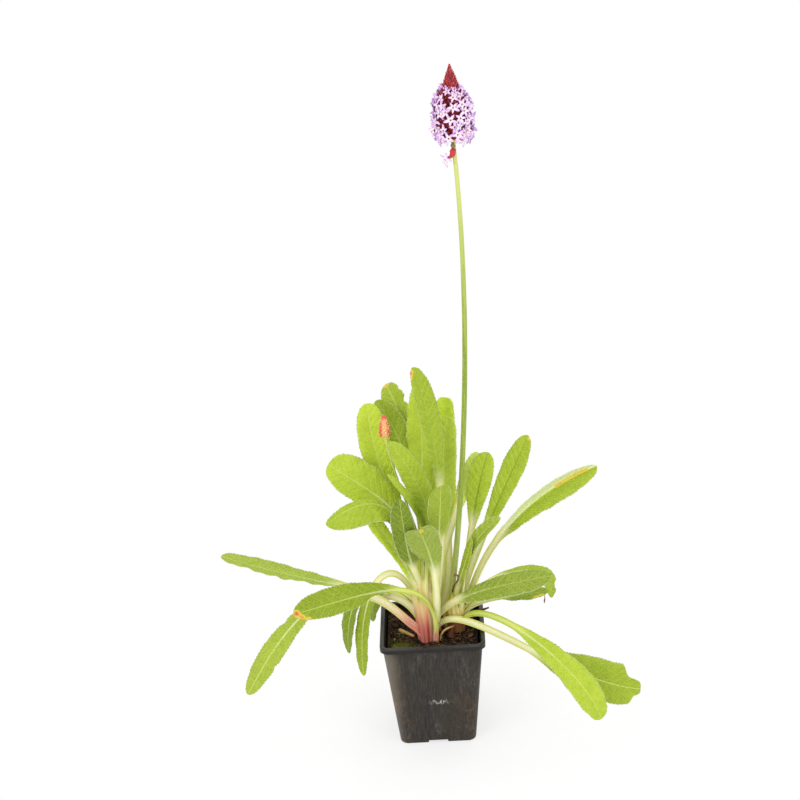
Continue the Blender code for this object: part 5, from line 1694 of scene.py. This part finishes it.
# %% One low floret and the bract beside it
LOW_FLORET = np.array([33.2, 2.0, 508.5])
LOW_ROOT = np.array([39.6, 2.2, 514.0])
LOW_CALYX = LOW_ROOT + np.array([(0.6, 0.4, 3.4), (0.2, 0, 1.6), (-0.4, 0, -1.0), (-1.6, 0, -2.8),
                                 (-4.6, 0, -4.6)])
BRACT = ((40.0, 3.2, 517.0), (39.8, 2.6, 519.5), (39.6, 2.4, 523.0))
points, faces, data = floret_mesh(77, 5.6)
facing = unit(unit(LOW_FLORET - LOW_ROOT) + np.array([0.0, -0.8, 0.3]))
across = unit(np.cross((0, 0, 1.0), facing))
axes = np.stack([across, np.cross(facing, across), facing])
make_piece("low_floret_star", points @ axes + LOW_FLORET, faces, petal_finish, ["low_floret"],
           {"petal": data})
low_finish = speckle_finish("low_calyx_red", ((164, 44, 54), (210, 66, 74), (232, 104, 98)),
                            0.55, 700.0, 0.3)
bract_finish = speckle_finish("bract", ((88, 84, 62), (128, 124, 88), (160, 152, 110)), 0.8, 900.0, 0.4)
for name, rings, finish, seed in (
        ("low_calyx", cord(LOW_CALYX, (1.5, 2.5, 2.3, 1.5, 0.7), 18, 20, 0.2, 3), low_finish, 97),
        ("spike_bract", cord(BRACT, (0.8, 1.9, 0.5), 12, 14, 0.1, 5), bract_finish, 98)):
    points, faces = skin(rings)
    make_piece(name, points, faces, finish, (), shades(1, len(points), seed))
print("low floret hangs", round(float(SPIKE_PLACE[2] - LOW_FLORET[2]), 1), "mm below the spike")

# %% [markdown]
# The second spike is still closed: a small cone of beads, coral red on its sides and tip and
# yellow orange in the middle of its front.  The red sides are painted shade and the yellow
# orange middle is painted light.

# %% Young spike
YOUNG_PLACE = np.array([-29.0, -13.0, 280.3])
YOUNG_CORE = np.array([(1.4, 0.0), (3.5, 1.6), (4.2, 4.5), (4.0, 8.5), (3.3, 12.5), (2.4, 16.5),
                       (1.5, 19.0), (0.5, 20.2)])
YOUNG_HALF, TIP_FROM, TIP_TO = 4.0, 13, 19      # mm aside, and mm up where the tip's red runs in


def bead_values(points, shade):
    """Share of the way to the cone's left or right edge or to its tip, and the shade."""
    away = points - YOUNG_PLACE
    edge = np.maximum(np.abs(away[:, 0]) / YOUNG_HALF, (away[:, 2] - TIP_FROM) / (TIP_TO - TIP_FROM))
    edge = np.clip(edge, 0, 1)
    return {"bead": np.column_stack([edge, np.broadcast_to(shade, edge.shape), edge])}


bud_finish, tree = new_finish("young_buds", 0.55, 0.35)
edge, shade, _ = parts(tree, carried(tree, "bead"))
# painted light and shade: yellow orange in the middle of the front, coral red as shade towards the sides;
# the tip is red too
bead = layered(
    tree, mix(tree, between(tree, edge, 0.25, 0.9), srgb(251, 214, 150), srgb(238, 98, 98)),
    (between(tree, shade, 0.6, 1.0, 0, 0.7), srgb(248, 224, 160)),
    (between(tree, shade, 0.4, 0.0, 0, 0.3), srgb(220, 112, 82)))
finish_with(tree, bead, noise(tree, object_vector(tree), 700.0), 0.2, 0.2)
points, faces = cone(YOUNG_PLACE, YOUNG_CORE, 0.75, 20, 32)
make_piece("young_core", points, faces, bud_finish, ["young_spike"], bead_values(points, 0.0))

count = 96
height = 0.6 + 19.0 * np.arange(count) / count
radius = np.interp(height, YOUNG_CORE[:, 1], YOUNG_CORE[:, 0]) * 0.82
climb = np.radians(np.interp(height, (0, 10, 20), (10, 45, 75)))
size = np.interp(height, (0, 12, 20), (0.8, 0.7, 0.4)) * (1 + 0.15 * jumble(count, 93))
length = np.interp(height, (0, 12, 20), (2.0, 1.8, 1.0))
points, faces = set_drops(YOUNG_PLACE, radius, height, GOLDEN_TURN * np.arange(count), climb,
                          np.stack([size, size, length], axis=-1)[:, None])
shade = np.repeat(chance(count, 99), len(DROP))
make_piece("young_beads", points, faces, bud_finish, (), bead_values(points, shade))
print("young spike:", count, "beads")
